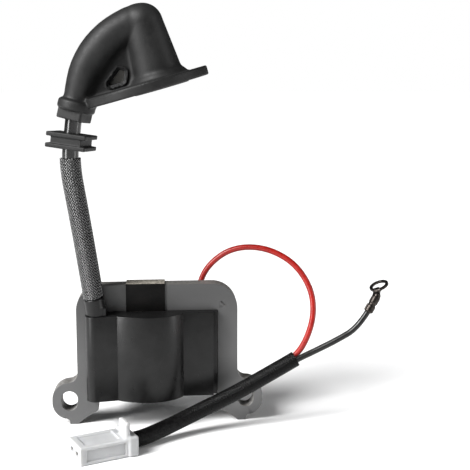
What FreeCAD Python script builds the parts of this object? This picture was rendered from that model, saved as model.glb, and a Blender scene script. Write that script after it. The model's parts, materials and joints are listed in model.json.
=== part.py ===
"""Potted ignition coil for a small engine, as separate pieces, in millimetres.

The origin is on the floor under the middle of the core. +X runs along the two
mounting slots, -Y is the front with the winding bulge, +Z is up.
"""
import FreeCAD, Part
import math
import os
import Sketcher

Vec = FreeCAD.Vector
UP = Vec(0, 0, 1)

doc = FreeCAD.newDocument("ignition_coil")
sheet = doc.addObject("Spreadsheet::Sheet", "sizes")

DRIVING = [
    # the laminated core
    ("core_thickness", 5.5, "depth of the lamination stack"),
    ("core_height", 44.9, "pole tips to the top of the yoke"),
    ("core_half_width", 25.35, "middle to the outer edge of a leg"),
    ("leg_width", 6.3, "width of an outer leg"),
    ("yoke_height", 8.4, "height of the yoke"),
    ("corner_radius", 8.0, "outer corner of the yoke"),
    ("centre_leg_width", 7.0, "width of the leg in the coil"),
    ("coil_centre", -2.1, "x of the coil's axis"),
    ("flywheel_radius", 40.0, "radius that the pole faces follow"),
    ("tip_inner", 25.5, "x of the inner edge of a pole tip"),
    ("tip_outer", 28.0, "x of the outer edge of a pole tip"),
    ("slot_spacing", 56.0, "distance between the mounting slots"),
    ("slot_width", 5.2, "width of a mounting slot"),
    ("slot_length", 6.4, "height of a mounting slot"),
    ("slot_centre_height", 7.65, "z of the middle of a slot"),
    ("ear_radius", 5.4, "outer radius of a foot around its slot"),
    ("ear_fillet", 3.0, "fillet between a leg and its foot"),
    # the band over the yoke
    ("strap_centre", -3.6, "x of the middle of the band"),
    ("strap_width", 12.2, "width of the band"),
    ("strap_gauge", 0.45, "thickness of the band"),
    # the housing
    ("case_bottom", 9.6, "z of the underside of the case"),
    ("case_height", 26.9, "height of the case"),
    ("case_wall", 1.3, "wall of the case"),
    ("case_side", 18.85, "middle to the side of the case in the window"),
    ("case_back", 11.9, "y of the back of the case"),
    ("bulge_radius", 11.9, "radius of the bulge over the windings"),
    ("bulge_flank_radius", 19.4, "flatter left flank of the bulge"),
    ("bulge_reach", 10.2, "middle of the bulge to the crease on its left"),
    ("left_wing_edge", -22.1, "x of the left edge of the left wing"),
    ("left_wing_front", -10.2, "y of the front of the left wing"),
    ("left_wing_rear", -2.95, "y of the face that lies on the left leg"),
    ("left_wing_round", 3.0, "front corner of the left wing"),
    ("right_wing_front", -6.1, "y of the front of the right wing"),
    ("right_step_edge", 17.6, "x where the right wing steps back"),
    ("right_step_front", -4.6, "y of the step at the right wing's edge"),
    ("resin_depth", 0.8, "cast layer that closes the back"),
    ("resin_recess", 0.7, "back of the case to the cast layer"),
    # windings
    ("leg_play", 0.1, "gap around the centre leg"),
    ("bobbin_wall", 1.1, "wall of the primary bobbin"),
    ("primary_inner", 6.25, "inner radius of the primary winding"),
    ("primary_outer", 7.1, "outer radius of the primary winding"),
    ("bobbin_play", 0.15, "gap between the primary winding and the secondary bobbin"),
    ("secondary_tube_outer", 8.1, "outer radius of the secondary bobbin's tube"),
    ("secondary_outer", 9.8, "outer radius of the secondary winding"),
    ("flange_outer", 10.2, "outer radius of the secondary bobbin's ribs"),
    ("rib_width", 0.8, "width of a rib"),
    ("winding_end", 0.3, "gap from the bobbins to the case's inside"),
    # circuit
    ("board_left", 9.3, "x of the circuit board's left edge"),
    ("board_width", 6.9, "width of the circuit board"),
    ("board_length", 20.0, "height of the circuit board"),
    ("board_gauge", 1.0, "thickness of the circuit board"),
    ("board_rear", 4.0, "y of the circuit board's rear face"),
    ("board_lift", 1.8, "circuit board above the floor of the case"),
    ("diode_radius", 0.9, "trigger diode"),
    ("diode_length", 4.6, "trigger diode"),
    # the high-tension lead and what is on it
    ("lead_plane", -6.4, "y of the plane that the lead lies in"),
    ("lead_diameter", 5.0, "high-tension lead"),
    ("lead_core_diameter", 1.6, "conductor of the lead"),
    ("ferrule_diameter", 6.2, "outlet on the case"),
    ("ferrule_height", 5.0, "outlet above the case, along the lead"),
    ("outlet_root", 2.0, "outlet's cylinder below the case's top, cut off level with it"),
    ("pin_hole_radius", 1.1, "hole in the case's top for the output pin"),
    ("pin_drop", 6.0, "length of the output pin"),
    ("pin_stand", 0.2, "output pin above the case"),
    ("pin_head_radius", 1.4, "head of the output pin"),
    ("pin_head", 1.2, "thickness of that head"),
    ("braid_gap", 0.25, "gap between the outlet and the braid, along the lead"),
    ("braid_diameter", 6.4, "braided sleeve"),
    ("braid_play", 0.05, "gap between the braid or a fitting and the lead"),
    ("braid_length", 43.6, "braided sleeve, along the lead"),
    ("grommet_start", 87.95, "z of the grommet's lower face"),
    ("grommet_width", 12.6, "width of the grommet's flanges"),
    ("grommet_depth", 10.0, "depth of the grommet's flanges"),
    ("grommet_groove", 1.4, "depth of the grommet's groove"),
    ("grommet_flange", 1.3, "thickness of a flange"),
    ("grommet_gap", 2.1, "width of the groove"),
    ("grommet_turn", -17.0, "turn of the grommet about the lead, degrees"),
    # the boot
    ("boot_start", 96.4, "z of the boot's mouth on the lead"),
    ("boot_grip", 6.9, "depth of the lead's hole in the boot"),
    ("collar_side", 9.6, "square lip at the boot's mouth"),
    ("collar_lip", 2.6, "height of the square lip"),
    ("collar_radius", 6.0, "round bead above the lip"),
    ("collar_bead", 3.4, "height of the bead"),
    ("collar_turn", -20.0, "turn of the lip about the lead, degrees"),
    ("collar_neck", 5.6, "straight arm above the lip"),
    ("arm_radius", 5.1, "radius of the boot's arm over the lead"),
    ("flange_radius", 18.8, "round flange of the boot"),
    ("flange_gauge", 2.8, "thickness of the flange"),
    ("flange_tilt", 16.0, "tilt of the flange, degrees"),
    ("plug_bore_radius", 4.7, "hole for the spark plug"),
    ("plug_bore_depth", 11.0, "depth of that hole"),
    ("clip_chamber_depth", 7.5, "depth of the clip's chamber above it"),
    ("clip_outer", 4.25, "outer radius of the plug clip"),
    ("clip_inner", 3.2, "inner radius of the plug clip"),
    ("clip_length", 7.0, "length of the plug clip"),
    ("socket_base_radius", 7.9, "boot's plug arm at the flange"),
    ("socket_top_radius", 6.0, "boot's plug arm at the top"),
    ("web_gauge", 3.6, "web between the boot's arms"),
    # the low-tension wires
    ("wire_diameter", 1.9, "red and black wires"),
    ("wire_offset", 1.0, "middle of the sleeve to the middle of a wire"),
    ("sleeve_diameter", 4.9, "sleeve over both wires"),
    ("sleeve_bore", 4.1, "inside of that sleeve"),
    # the connector
    ("plug_length", 17.8, "connector"),
    ("plug_width", 10.4, "connector"),
    ("plug_height", 5.5, "connector"),
    ("plug_flange", 3.2, "thicker end of the connector, along its length"),
    ("plug_proud", 0.7, "how far that end stands out at the sides"),
    ("plug_turn", 24.0, "direction of the connector on the floor, degrees"),
    ("plug_x", -24.0, "x of the middle of the connector's mouth"),
    ("plug_y", -31.7, "y of the middle of the connector's mouth"),
    ("contact_pitch", 4.4, "distance between the contacts"),
    ("cavity_width", 3.1, "contact cavity"),
    ("cavity_height", 3.3, "contact cavity"),
    ("blade_start", 2.0, "contact's blade behind the connector's mouth"),
    ("blade_length", 8.0, "contact's blade"),
    ("blade_width", 2.6, "contact's blade"),
    ("blade_gauge", 0.8, "contact's blade"),
    ("crimp_start", 9.6, "contact's crimp behind the mouth"),
    ("crimp_length", 3.4, "contact's crimp"),
    ("crimp_radius", 1.35, "contact's crimp"),
    ("wire_start", 11.4, "end of a wire behind the mouth"),
    ("latch_height", 5.0, "latch tab above the connector"),
    ("latch_length", 1.6, "latch tab along the connector, half of it on the thicker end"),
    ("latch_width", 5.8, "latch tab across the connector"),
    ("inlet_wall", 1.1, "side wall of the wires' inlet"),
    ("inlet_step", 1.6, "depth of the inlet past the thicker end"),
    # the ring terminal
    ("eye_outer", 3.2, "outer radius of the eye"),
    ("eye_inner", 2.15, "hole of the eye, for an M4 screw"),
    ("eye_gauge", 0.8, "thickness of the eye"),
    ("barrel_length", 6.0, "crimped barrel"),
    ("barrel_radius", 1.45, "crimped barrel"),
    ("wire_grip", 2.4, "length of the wire in the barrel"),
    ("neck_width", 2.4, "neck at the barrel"),
    ("neck_gauge", 0.9, "thickness of the neck at the barrel"),
    ("neck_end_width", 3.4, "neck at the eye"),
    ("eye_rise", 1.2, "eye beyond the barrel, along it"),
    ("eye_setback", 3.9, "middle of the eye behind the barrel's line"),
    ("neck_root", 0.4, "neck inside the end of the barrel"),
    ("neck_lap", 0.9, "neck over the eye's band"),
]
for row, (alias, value, meaning) in enumerate(DRIVING, 1):
    sheet.set(f"A{row}", meaning)
    sheet.set(f"B{row}", str(value))
    sheet.setAlias(f"B{row}", alias)
doc.recompute()

pieces = []


def size(alias):
    return float(sheet.get(alias))


def mm(text):
    """Turn plain alias names in a formula into references to the sheet."""
    for alias in sorted((row[0] for row in DRIVING), key=len, reverse=True):
        text = text.replace(f"<{alias}>", f"sizes.{alias}")
    return text


def bind(thing, **formulas):
    for prop, text in formulas.items():
        thing.setExpression(prop.replace("__", "."), mm(text))


def keep(thing, label):
    thing.Label = label
    pieces.append(thing)
    return thing


# ---- helpers: PartDesign bodies -------------------------------------------------


def new_body(label):
    body = doc.addObject("PartDesign::Body", label)
    return keep(body, label)


def new_sketch(body, role, edges, height="0"):
    """A sketch on the body's own origin plane, with its outline blocked in place."""
    sketch = body.newObject("Sketcher::SketchObject", "outline")
    plane = next(p for p in body.Origin.OriginFeatures if p.Role == role)
    sketch.AttachmentSupport = [(plane, "")]
    sketch.MapMode = "FlatFace"
    sketch.setExpression("AttachmentOffset.Base.z", mm(height))
    for index, edge in enumerate(edges):
        sketch.addGeometry(edge)
        sketch.addConstraint(Sketcher.Constraint("Block", index))
    return sketch


def pad(body, sketch, length, both_ways=False, backwards=False):
    feature = body.newObject("PartDesign::Pad", "pad")
    feature.Profile = sketch
    feature.SideType = "Symmetric" if both_ways else "One side"
    feature.Reversed = backwards
    bind(feature, Length=length)
    return feature


def pocket(body, sketch, length, both_ways=False, backwards=False):
    """A pocket, which has to take material away."""
    doc.recompute()
    before = body.Shape.Volume
    feature = body.newObject("PartDesign::Pocket", "pocket")
    feature.Profile = sketch
    feature.SideType = "Symmetric" if both_ways else "One side"
    feature.Reversed = backwards
    bind(feature, Length=length)
    doc.recompute()
    if body.Shape.Volume > before - 1e-6:
        raise RuntimeError(f"{body.Label}: a pocket cuts nothing")
    return feature


def line(start, end):
    return Part.LineSegment(Vec(*start, 0), Vec(*end, 0))


def arc(start, middle, end):
    return Part.Arc(Vec(*start, 0), Vec(*middle, 0), Vec(*end, 0))


def rectangle(left, right, low, high):
    corners = [(left, low), (right, low), (right, high), (left, high)]
    return [line(corners[i], corners[(i + 1) % 4]) for i in range(4)]


def ring(x, y, *radii):
    return [Part.Circle(Vec(x, y, 0), UP, radius) for radius in radii]


def on_circle(centre, radius, degrees):
    angle = math.radians(degrees)
    return (centre[0] + radius * math.cos(angle), centre[1] + radius * math.sin(angle))


def bearing(centre, point):
    return math.degrees(math.atan2(point[1] - centre[1], point[0] - centre[0]))


# ---- helpers: tubes along a route -----------------------------------------------


def route_edges(points, label=None):
    """Straight runs joined by tangent arcs, each as large as its two runs allow."""
    share = 0.45
    points = [Vec(*point) for point in points]
    edges, radii, last = [], [], points[0]
    for before, corner, after in zip(points, points[1:], points[2:]):
        back = before.sub(corner).normalize()
        ahead = after.sub(corner).normalize()
        cut = share * min(before.distanceToPoint(corner), after.distanceToPoint(corner))
        turn = math.pi - back.getAngle(ahead)
        radii.append(round(cut / math.tan(turn / 2), 1))
        start = corner + back * cut
        end = corner + ahead * cut
        half = (back + ahead).normalize()
        radius = cut / math.tan(turn / 2)
        middle = corner + half * (math.hypot(radius, cut) - radius)
        edges.append(Part.LineSegment(last, start).toShape())
        edges.append(Part.Arc(start, middle, end).toShape())
        last = end
    edges.append(Part.LineSegment(last, points[-1]).toShape())
    if label:
        length = sum(edge.Length for edge in edges)
        print(label, "route", round(length, 1), "mm, radii", radii)
    return edges


def stretch(edges, start, end):
    """The part of a route between two distances along it."""
    kept, gone = [], 0.0
    for edge in edges:
        low = max(start - gone, 0.0)
        high = min(end - gone, edge.Length)
        if high - low > 1e-6:
            first = edge.getParameterByLength(low)
            last = edge.getParameterByLength(high)
            kept.append(edge.Curve.toShape(first, last))
        gone += edge.Length
    return kept


def tube(edges, outer, inner=None):
    """A round tube or rod along a route, checked against its section times its length."""
    path = Part.Wire(Part.__sortEdges__(edges))
    first = edges[0]
    at = first.Vertexes[0].Point
    way = first.tangentAt(first.FirstParameter)

    def swept(diameter):
        profile = Part.Wire([Part.Circle(at, way, diameter / 2).toShape()])
        return path.makePipeShell([profile], True, False, 0)

    solid = swept(outer)
    area = math.pi * outer**2 / 4
    if inner:
        solid = solid.cut(swept(inner))
        area -= math.pi * inner**2 / 4
    wanted = area * path.Length
    if abs(solid.Volume - wanted) > 0.01 * wanted:
        raise RuntimeError("a tube's volume isn't its section times its length")
    return solid


def feature(label, shape):
    part = doc.addObject("Part::Feature", label)
    part.Shape = shape
    return keep(part, label)


def primitive(kind, name, **formulas):
    thing = doc.addObject(f"Part::{kind}", name)
    bind(thing, **formulas)
    return thing


# ---- the core --------------------------------------------------------------------

pole_centre = (0.0, -math.sqrt(size("flywheel_radius") ** 2 - size("tip_inner") ** 2))
window_top = size("core_height") - size("yoke_height")
leg_inner = size("core_half_width") - size("leg_width")


def pole_height(x):
    return pole_centre[1] + math.sqrt(size("flywheel_radius") ** 2 - x**2)


def foot_side(mirror):
    """One outer side of the core from the top's middle round the foot to the window."""
    top, edge = size("core_height"), size("core_half_width")
    corner, ear, fillet = size("corner_radius"), size("ear_radius"), size("ear_fillet")
    slot_x = size("slot_spacing") / 2
    reach = (size("slot_length") - size("slot_width")) / 2
    upper = (slot_x, size("slot_centre_height") + reach)
    lower = (slot_x, size("slot_centre_height") - reach)
    side = edge + fillet
    rise = math.sqrt((ear + fillet) ** 2 - (side - slot_x) ** 2)
    blend = (side, upper[1] + rise)
    joint = on_circle(upper, ear, bearing(upper, blend))
    corner_centre = (edge - corner, top - corner)
    heel_start = on_circle(lower, ear, -74)
    heel_end = (size("tip_outer"), 0.6)
    heel_middle = (size("tip_outer") + 0.45, 1.55)
    inner_foot = (leg_inner, pole_height(leg_inner))
    pole_x = (size("tip_inner") + leg_inner) / 2
    blend_turn = (180 + bearing(blend, joint) % 360) / 2
    outline = [
        ("line", (0, top), (edge - corner, top)),
        ("arc", (edge - corner, top), on_circle(corner_centre, corner, 45), (edge, top - corner)),
        ("line", (edge, top - corner), (edge, blend[1])),
        ("arc", (edge, blend[1]), on_circle(blend, fillet, blend_turn), joint),
        ("arc", joint, on_circle(upper, ear, 45), on_circle(upper, ear, 0)),
        ("line", on_circle(upper, ear, 0), on_circle(lower, ear, 0)),
        ("arc", on_circle(lower, ear, 0), on_circle(lower, ear, -37), heel_start),
        ("arc", heel_start, heel_middle, heel_end),
        ("line", heel_end, (size("tip_outer"), 0)),
        ("line", (size("tip_outer"), 0), (size("tip_inner"), 0)),
        ("arc", (size("tip_inner"), 0), (pole_x, pole_height(pole_x)), inner_foot),
        ("line", inner_foot, (leg_inner, window_top)),
    ]
    makers = {"line": line, "arc": arc}
    return [makers[kind](*[(mirror * x, z) for x, z in places]) for kind, *places in outline]


def core():
    body = new_body("core_laminations")
    left = size("coil_centre") - size("centre_leg_width") / 2
    right = size("coil_centre") + size("centre_leg_width") / 2
    left_foot = (left, pole_height(left))
    right_foot = (right, pole_height(right))
    middle = size("coil_centre")
    outline = foot_side(1) + foot_side(-1)
    outline += [
        line((leg_inner, window_top), (right, window_top)),
        line((right, window_top), right_foot),
        arc(right_foot, (middle, pole_height(middle)), left_foot),
        line(left_foot, (left, window_top)),
        line((left, window_top), (-leg_inner, window_top)),
    ]
    pad(body, new_sketch(body, "XZ_Plane", outline), "<core_thickness>", both_ways=True)
    radius = size("slot_width") / 2
    reach = (size("slot_length") - size("slot_width")) / 2
    for side in (-1, 1):
        x, z = side * size("slot_spacing") / 2, size("slot_centre_height")
        slot = [
            line((x + radius, z - reach), (x + radius, z + reach)),
            arc((x + radius, z + reach), (x, z + reach + radius), (x - radius, z + reach)),
            line((x - radius, z + reach), (x - radius, z - reach)),
            arc((x - radius, z - reach), (x, z - reach - radius), (x + radius, z - reach)),
        ]
        pocket(body, new_sketch(body, "XZ_Plane", slot), "<core_thickness> + 1", both_ways=True)


def strap():
    """A thin saddle over the yoke: front leg, top and rear leg."""
    body = new_body("yoke_strap")
    half = size("core_thickness") / 2
    gauge = size("strap_gauge")
    top = size("core_height")
    section = [(-half - gauge, window_top), (-half, window_top), (-half, top), (half, top)]
    section += [(half, window_top), (half + gauge, window_top)]
    section += [(half + gauge, top + gauge), (-half - gauge, top + gauge)]
    edges = [line(section[i], section[(i + 1) % len(section)]) for i in range(len(section))]
    sketch = new_sketch(body, "YZ_Plane", edges, "<strap_centre>")
    pad(body, sketch, "<strap_width>", both_ways=True)


# ---- the housing -----------------------------------------------------------------

case_top = size("case_bottom") + size("case_height")


def case_plan(inset, back):
    """The case seen from above, moved inward by inset and open to a given back."""
    side = size("case_side") - inset
    front = size("left_wing_front") + inset
    rear = size("left_wing_rear") - inset
    wing = size("left_wing_edge") + inset
    round_off = size("left_wing_round") - inset
    right_front = size("right_wing_front") + inset
    step_x = size("right_step_edge") - inset
    step_y = size("right_step_front") + inset
    centre = (size("coil_centre"), 0.0)
    radius = size("bulge_radius") - inset
    flank = size("bulge_flank_radius")
    flank_centre = (centre[0], flank - size("bulge_radius"))
    reach = size("bulge_reach")
    valley_y = flank_centre[1] - math.sqrt((flank - inset) ** 2 - reach**2)
    valley = (centre[0] - reach, valley_y)
    flank_turn = (bearing(flank_centre, valley) % 360 + 270) / 2
    bulge_front = (centre[0], -radius)
    crease = (centre[0] + math.sqrt(radius**2 - right_front**2), right_front)
    corner = (wing + round_off, front + round_off)
    return [
        line((-side, back), (-side, rear)),
        line((-side, rear), (wing, rear)),
        line((wing, rear), (wing, corner[1])),
        arc((wing, corner[1]), on_circle(corner, round_off, 225), (corner[0], front)),
        line((corner[0], front), valley),
        arc(valley, on_circle(flank_centre, flank - inset, flank_turn), bulge_front),
        arc(bulge_front, on_circle(centre, radius, -60), crease),
        line(crease, (step_x, right_front)),
        line((step_x, right_front), (step_x, step_y)),
        line((step_x, step_y), (side, step_y)),
        line((side, step_y), (side, back)),
        line((side, back), (-side, back)),
    ]


def leg_hole():
    x, half = size("coil_centre"), size("centre_leg_width") / 2 + size("leg_play")
    depth = size("core_thickness") / 2 + size("leg_play")
    return rectangle(x - half, x + half, -depth, depth)


WIRE_OUTLET = (12.5, 6.5)


def shell():
    body = new_body("housing_shell")
    outside = new_sketch(body, "XY_Plane", case_plan(0.0, size("case_back")), "<case_bottom>")
    pad(body, outside, "<case_height>")
    inside = case_plan(size("case_wall"), size("case_back") + 1)
    hollow = new_sketch(body, "XY_Plane", inside, "<case_bottom> + <case_wall>")
    pocket(body, hollow, "<case_height> - 2 * <case_wall>", backwards=True)
    through = new_sketch(body, "XY_Plane", leg_hole(), "<case_bottom> - 1")
    pocket(body, through, "<case_height> + 2", backwards=True)
    lead_hole = ring(lead_points[0][0], size("lead_plane"), size("pin_hole_radius"))
    top = new_sketch(body, "XY_Plane", lead_hole, "<case_bottom> + <case_height> - 2 * <case_wall>")
    pocket(body, top, "3 * <case_wall>", backwards=True)
    wire_hole = ring(*WIRE_OUTLET, size("wire_diameter") / 2)
    top = new_sketch(body, "XY_Plane", wire_hole, "<case_bottom> + <case_height> - 2 * <case_wall>")
    pocket(body, top, "3 * <case_wall>", backwards=True)


def resin():
    inside = size("case_side") - size("case_wall")
    back = size("case_back") - size("resin_recess") - size("resin_depth")
    body = new_body("potting_resin")
    plan = rectangle(-inside, inside, back, back + size("resin_depth"))
    sketch = new_sketch(body, "XY_Plane", plan, "<case_bottom> + <case_wall>")
    pad(body, sketch, "<case_height> - 2 * <case_wall>")


# ---- windings --------------------------------------------------------------------


def primary():
    base = "<case_bottom> + <case_wall> + <winding_end>"
    tall = "<case_height> - 2 * <case_wall> - 2 * <winding_end>"
    x = size("coil_centre")
    wide = size("centre_leg_width") / 2 + size("leg_play") + size("bobbin_wall")
    deep = size("core_thickness") / 2 + size("leg_play") + size("bobbin_wall")
    body = new_body("primary_bobbin")
    pad(body, new_sketch(body, "XY_Plane", rectangle(x - wide, x + wide, -deep, deep), base), tall)
    for low in (base, f"{base} + {tall} - <bobbin_wall>"):
        pad(body, new_sketch(body, "XY_Plane", ring(x, 0, size("primary_outer")), low), "<bobbin_wall>")
    pocket(body, new_sketch(body, "XY_Plane", leg_hole(), base), tall, backwards=True)

    body = new_body("primary_winding")
    turns = ring(x, 0, size("primary_outer"), size("primary_inner"))
    sketch = new_sketch(body, "XY_Plane", turns, f"{base} + <bobbin_wall>")
    pad(body, sketch, f"{tall} - 2 * <bobbin_wall>")


SECTIONS = 4


def secondary():
    base = size("case_bottom") + size("case_wall") + size("winding_end")
    tall = size("case_height") - 2 * size("case_wall") - 2 * size("winding_end")
    rib = size("rib_width")
    pitch = (tall - rib) / SECTIONS
    x = size("coil_centre")
    inner = size("primary_outer") + size("bobbin_play")
    outer = size("secondary_tube_outer")
    at = Vec(x, 0, base)
    spool = Part.makeCylinder(outer, tall, at)
    for index in range(SECTIONS + 1):
        rib_at = Vec(x, 0, base + index * pitch)
        spool = spool.fuse(Part.makeCylinder(size("flange_outer"), rib, rib_at))
    feature("secondary_bobbin", spool.cut(Part.makeCylinder(inner, tall, at)))
    rings = []
    for index in range(SECTIONS):
        low = Vec(x, 0, base + index * pitch + rib)
        ring_solid = Part.makeCylinder(size("secondary_outer"), pitch - rib, low)
        rings.append(ring_solid.cut(Part.makeCylinder(outer, pitch - rib, low)))
    feature("secondary_winding", Part.makeCompound(rings))


# ---- the circuit -----------------------------------------------------------------


# x and z from the board's lower left corner, then the width, depth and height
TRANSISTOR = (1.0, 1.5, 4.6, 2.0, 4.2)
CAPACITOR = (0.7, 7.0, 5.4, 3.4, 6.4)
RESISTORS = [(1.0, 17.2, 1.8, 0.6, 1.2), (3.6, 17.2, 1.8, 0.6, 1.2)]
DIODE_PLACE = (1.1, 15.0)


def circuit():
    board = keep(primitive("Box", "board"), "circuit_board")
    bind(board, Length="<board_width>", Width="<board_gauge>", Height="<board_length>")
    bind(board, Placement__Base__x="<board_left>", Placement__Base__y="<board_rear> - <board_gauge>")
    bind(board, Placement__Base__z="<case_bottom> + <case_wall> + <board_lift>")
    face = size("board_rear") - size("board_gauge")
    left = size("board_left")
    low = size("case_bottom") + size("case_wall") + size("board_lift")

    def block(x, z, wide, deep, tall):
        return Part.makeBox(wide, deep, tall, Vec(left + x, face - deep, low + z))

    feature("power_transistor", block(*TRANSISTOR))
    feature("storage_capacitor", block(*CAPACITOR))
    radius, along = size("diode_radius"), Vec(1, 0, 0)
    diode_at = Vec(left + DIODE_PLACE[0], face - radius, low + DIODE_PLACE[1])
    feature("trigger_diode", Part.makeCylinder(radius, size("diode_length"), diode_at, along))
    feature("timing_resistors", Part.makeCompound([block(*place) for place in RESISTORS]))


# ---- the high-tension lead --------------------------------------------------------

LEAD_ROUTE = [
    (-18.74, 36.8),
    (-20.95, 52.8),
    (-23.60, 69.8),
    (-25.90, 83.8),
    (-24.70, 93.2),
    (-23.58, 102.6),
]
lead_points = [(x, size("lead_plane"), z) for x, z in LEAD_ROUTE]


def lead_way(index):
    """The unit direction of one run of the lead."""
    return Vec(*lead_points[index + 1]).sub(Vec(*lead_points[index])).normalize()


def lead_at(z):
    """The point of the lead's last two runs at a height."""
    run = 4 if z > lead_points[4][2] else 3
    start, way = Vec(*lead_points[run]), lead_way(run)
    return start + way * ((z - start.z) / way.z)


def lead():
    edges = route_edges(lead_points, "lead")
    feature("lead_insulation", tube(edges, size("lead_diameter"), size("lead_core_diameter")))
    feature("lead_conductor", tube(edges, size("lead_core_diameter")))
    bore = size("lead_diameter") + 2 * size("braid_play")
    start = size("ferrule_height") + size("braid_gap")
    braid = stretch(edges, start, start + size("braid_length"))
    feature("braided_sleeve", tube(braid, size("braid_diameter"), bore))

    way = lead_way(0)
    root = size("outlet_root")
    foot = Vec(*lead_points[0]) - way * root
    outlet = Part.makeCylinder(size("ferrule_diameter") / 2, start + root, foot, way)
    under = 10
    corner = Vec(foot.x - under, foot.y - under, case_top - under)
    below = Part.makeBox(2 * under, 2 * under, under, corner)
    outlet = outlet.cut(below).cut(Part.makeCylinder(bore / 2, 2 * under, foot, way))
    feature("lead_ferrule", outlet)

    top = Vec(lead_points[0][0], size("lead_plane"), case_top + size("pin_stand"))
    drop = size("pin_drop")
    pin = Part.makeCylinder(size("lead_core_diameter") / 2, drop, top, UP * -1)
    head_at = top - UP * drop
    head = Part.makeCylinder(size("pin_head_radius"), size("pin_head"), head_at, UP * -1)
    feature("ht_output_pin", pin.fuse(head))


def turned(shape, at, way, degrees=0.0):
    """Place a shape made about +Z so that +Z lies along way, after a turn about itself."""
    spin = FreeCAD.Rotation(UP, degrees)
    aim = FreeCAD.Rotation(UP, way)
    shape.Placement = FreeCAD.Placement(at, aim.multiply(spin))
    return shape


def grommet():
    flange, gap = size("grommet_flange"), size("grommet_gap")
    wide, deep, groove = size("grommet_width"), size("grommet_depth"), size("grommet_groove")

    def slab(inset, low, tall):
        corner = Vec(-wide / 2 + inset, -deep / 2 + inset, low)
        return Part.makeBox(wide - 2 * inset, deep - 2 * inset, tall, corner)

    body = slab(0, 0, flange).fuse([slab(groove, flange, gap), slab(0, flange + gap, flange)])
    bore = size("lead_diameter") / 2 + size("braid_play")
    body = body.cut(Part.makeCylinder(bore, 2 * flange + gap, Vec(0, 0, 0)))
    place = lead_at(size("grommet_start"))
    feature("shroud_grommet", turned(body, place, lead_way(3), size("grommet_turn")))


# ---- the boot --------------------------------------------------------------------

flange_lean = math.radians(size("flange_tilt"))
flange_normal = Vec(-math.sin(flange_lean), 0, math.cos(flange_lean))
flange_centre = Vec(-2.1, size("lead_plane"), 106.4)
SOCKET_SHIFT = 4.1
SOCKET_HEIGHT = 19.7
ARM_ROUTE = [(-22.9, 103.6), (-20.9, 110.4), (-16.4, 117.4), (-10.6, 122.9), (-5.0, 125.6)]
WEB_OUTLINE = [(-22.5, 101.8), (-20.0, 111.0), (-13.0, 119.5), (-4.0, 125.2), (1.0, 108.6)]
WINDOW = [(-14.0, 107.0), (-11.3, 110.9), (-10.2, 110.6), (-10.6, 107.9)]


def in_lead_plane(points, shift=0.0):
    places = [Vec(x, size("lead_plane") + shift, z) for x, z in points]
    return Part.Wire(Part.makePolygon(places + places[:1]))


def socket_base():
    along = Vec(math.cos(flange_lean), 0, math.sin(flange_lean))
    return flange_centre + along * SOCKET_SHIFT - flange_normal * (size("flange_gauge") / 2)


def boot():
    gauge = size("flange_gauge")
    disc = Part.makeCylinder(
        size("flange_radius"), gauge, flange_centre - flange_normal * (gauge / 2), flange_normal
    )
    base = socket_base()
    socket = Part.makeCone(
        size("socket_base_radius"), size("socket_top_radius"), SOCKET_HEIGHT, base, flange_normal
    )
    crown = Part.makeSphere(size("socket_top_radius"), base + flange_normal * SOCKET_HEIGHT)
    arm_points = [(x, size("lead_plane"), z) for x, z in ARM_ROUTE]
    arm = tube(route_edges(arm_points), 2 * size("arm_radius"))
    web_face = Part.Face(in_lead_plane(WEB_OUTLINE, size("web_gauge") / 2))
    web = web_face.extrude(Vec(0, -size("web_gauge"), 0))
    mouth = lead_at(size("boot_start"))
    way = lead_way(4)
    side = size("collar_side")
    lip = Part.makeBox(side, side, size("collar_lip"), Vec(-side / 2, -side / 2, 0))
    lip = turned(lip, mouth, way, size("collar_turn"))
    bead_at = mouth + way * size("collar_lip")
    bead = Part.makeCylinder(size("collar_radius"), size("collar_bead"), bead_at, way)
    neck = Part.makeCylinder(size("arm_radius"), size("collar_neck"), bead_at, way)
    elbow = Part.makeSphere(size("arm_radius"), Vec(*arm_points[0]))
    body = disc.fuse([socket, crown, arm, web, lip, bead, neck, elbow])
    beyond = 10
    window = Part.Face(in_lead_plane(WINDOW, beyond)).extrude(Vec(0, -2 * beyond, 0))
    plug_bore = Part.makeCylinder(
        size("plug_bore_radius"), size("plug_bore_depth") + 1, base - flange_normal, flange_normal
    )
    chamber_at = base + flange_normal * size("plug_bore_depth")
    chamber = Part.makeCylinder(
        size("clip_outer"), size("clip_chamber_depth"), chamber_at, flange_normal
    )
    hole = size("lead_diameter") / 2 + size("braid_play")
    lead_hole = Part.makeCylinder(hole, size("boot_grip") + 1, mouth - way, way)
    feature("plug_boot", body.cut([window, plug_bore, chamber, lead_hole]).removeSplitter())

    clip_at = chamber_at + flange_normal * (size("clip_chamber_depth") - size("clip_length"))
    clip = Part.makeCylinder(size("clip_outer"), size("clip_length"), clip_at, flange_normal)
    inner = size("clip_length") - 1
    clip = clip.cut(Part.makeCylinder(size("clip_inner"), inner, clip_at, flange_normal))
    feature("plug_terminal_clip", clip)


# ---- the low-tension wires ---------------------------------------------------------

SLEEVE_ROUTE = [
    (-8.64, -24.87, 2.75),
    (-4.90, -23.00, 2.75),
    (3.03, -17.15, 3.90),
    (10.91, -13.30, 6.34),
    (23.22, -10.80, 11.31),
    (33.38, -9.00, 16.26),
    (43.19, -7.60, 21.37),
]
RED_LOOP = [
    (46.90, -7.60, 27.60),
    (49.48, -5.60, 35.61),
    (48.62, -2.60, 43.58),
    (43.35, 1.00, 51.06),
    (34.34, 4.40, 55.18),
    (24.44, 6.60, 54.71),
    (16.84, 7.40, 49.32),
    (13.40, 7.00, 42.65),
    (12.50, 6.50, 36.00),
]
GROUND_RUN = [
    (48.90, -8.20, 23.79),
    (55.80, -8.40, 27.18),
    (63.29, -8.00, 31.34),
    (67.24, -7.20, 37.95),
]


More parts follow.
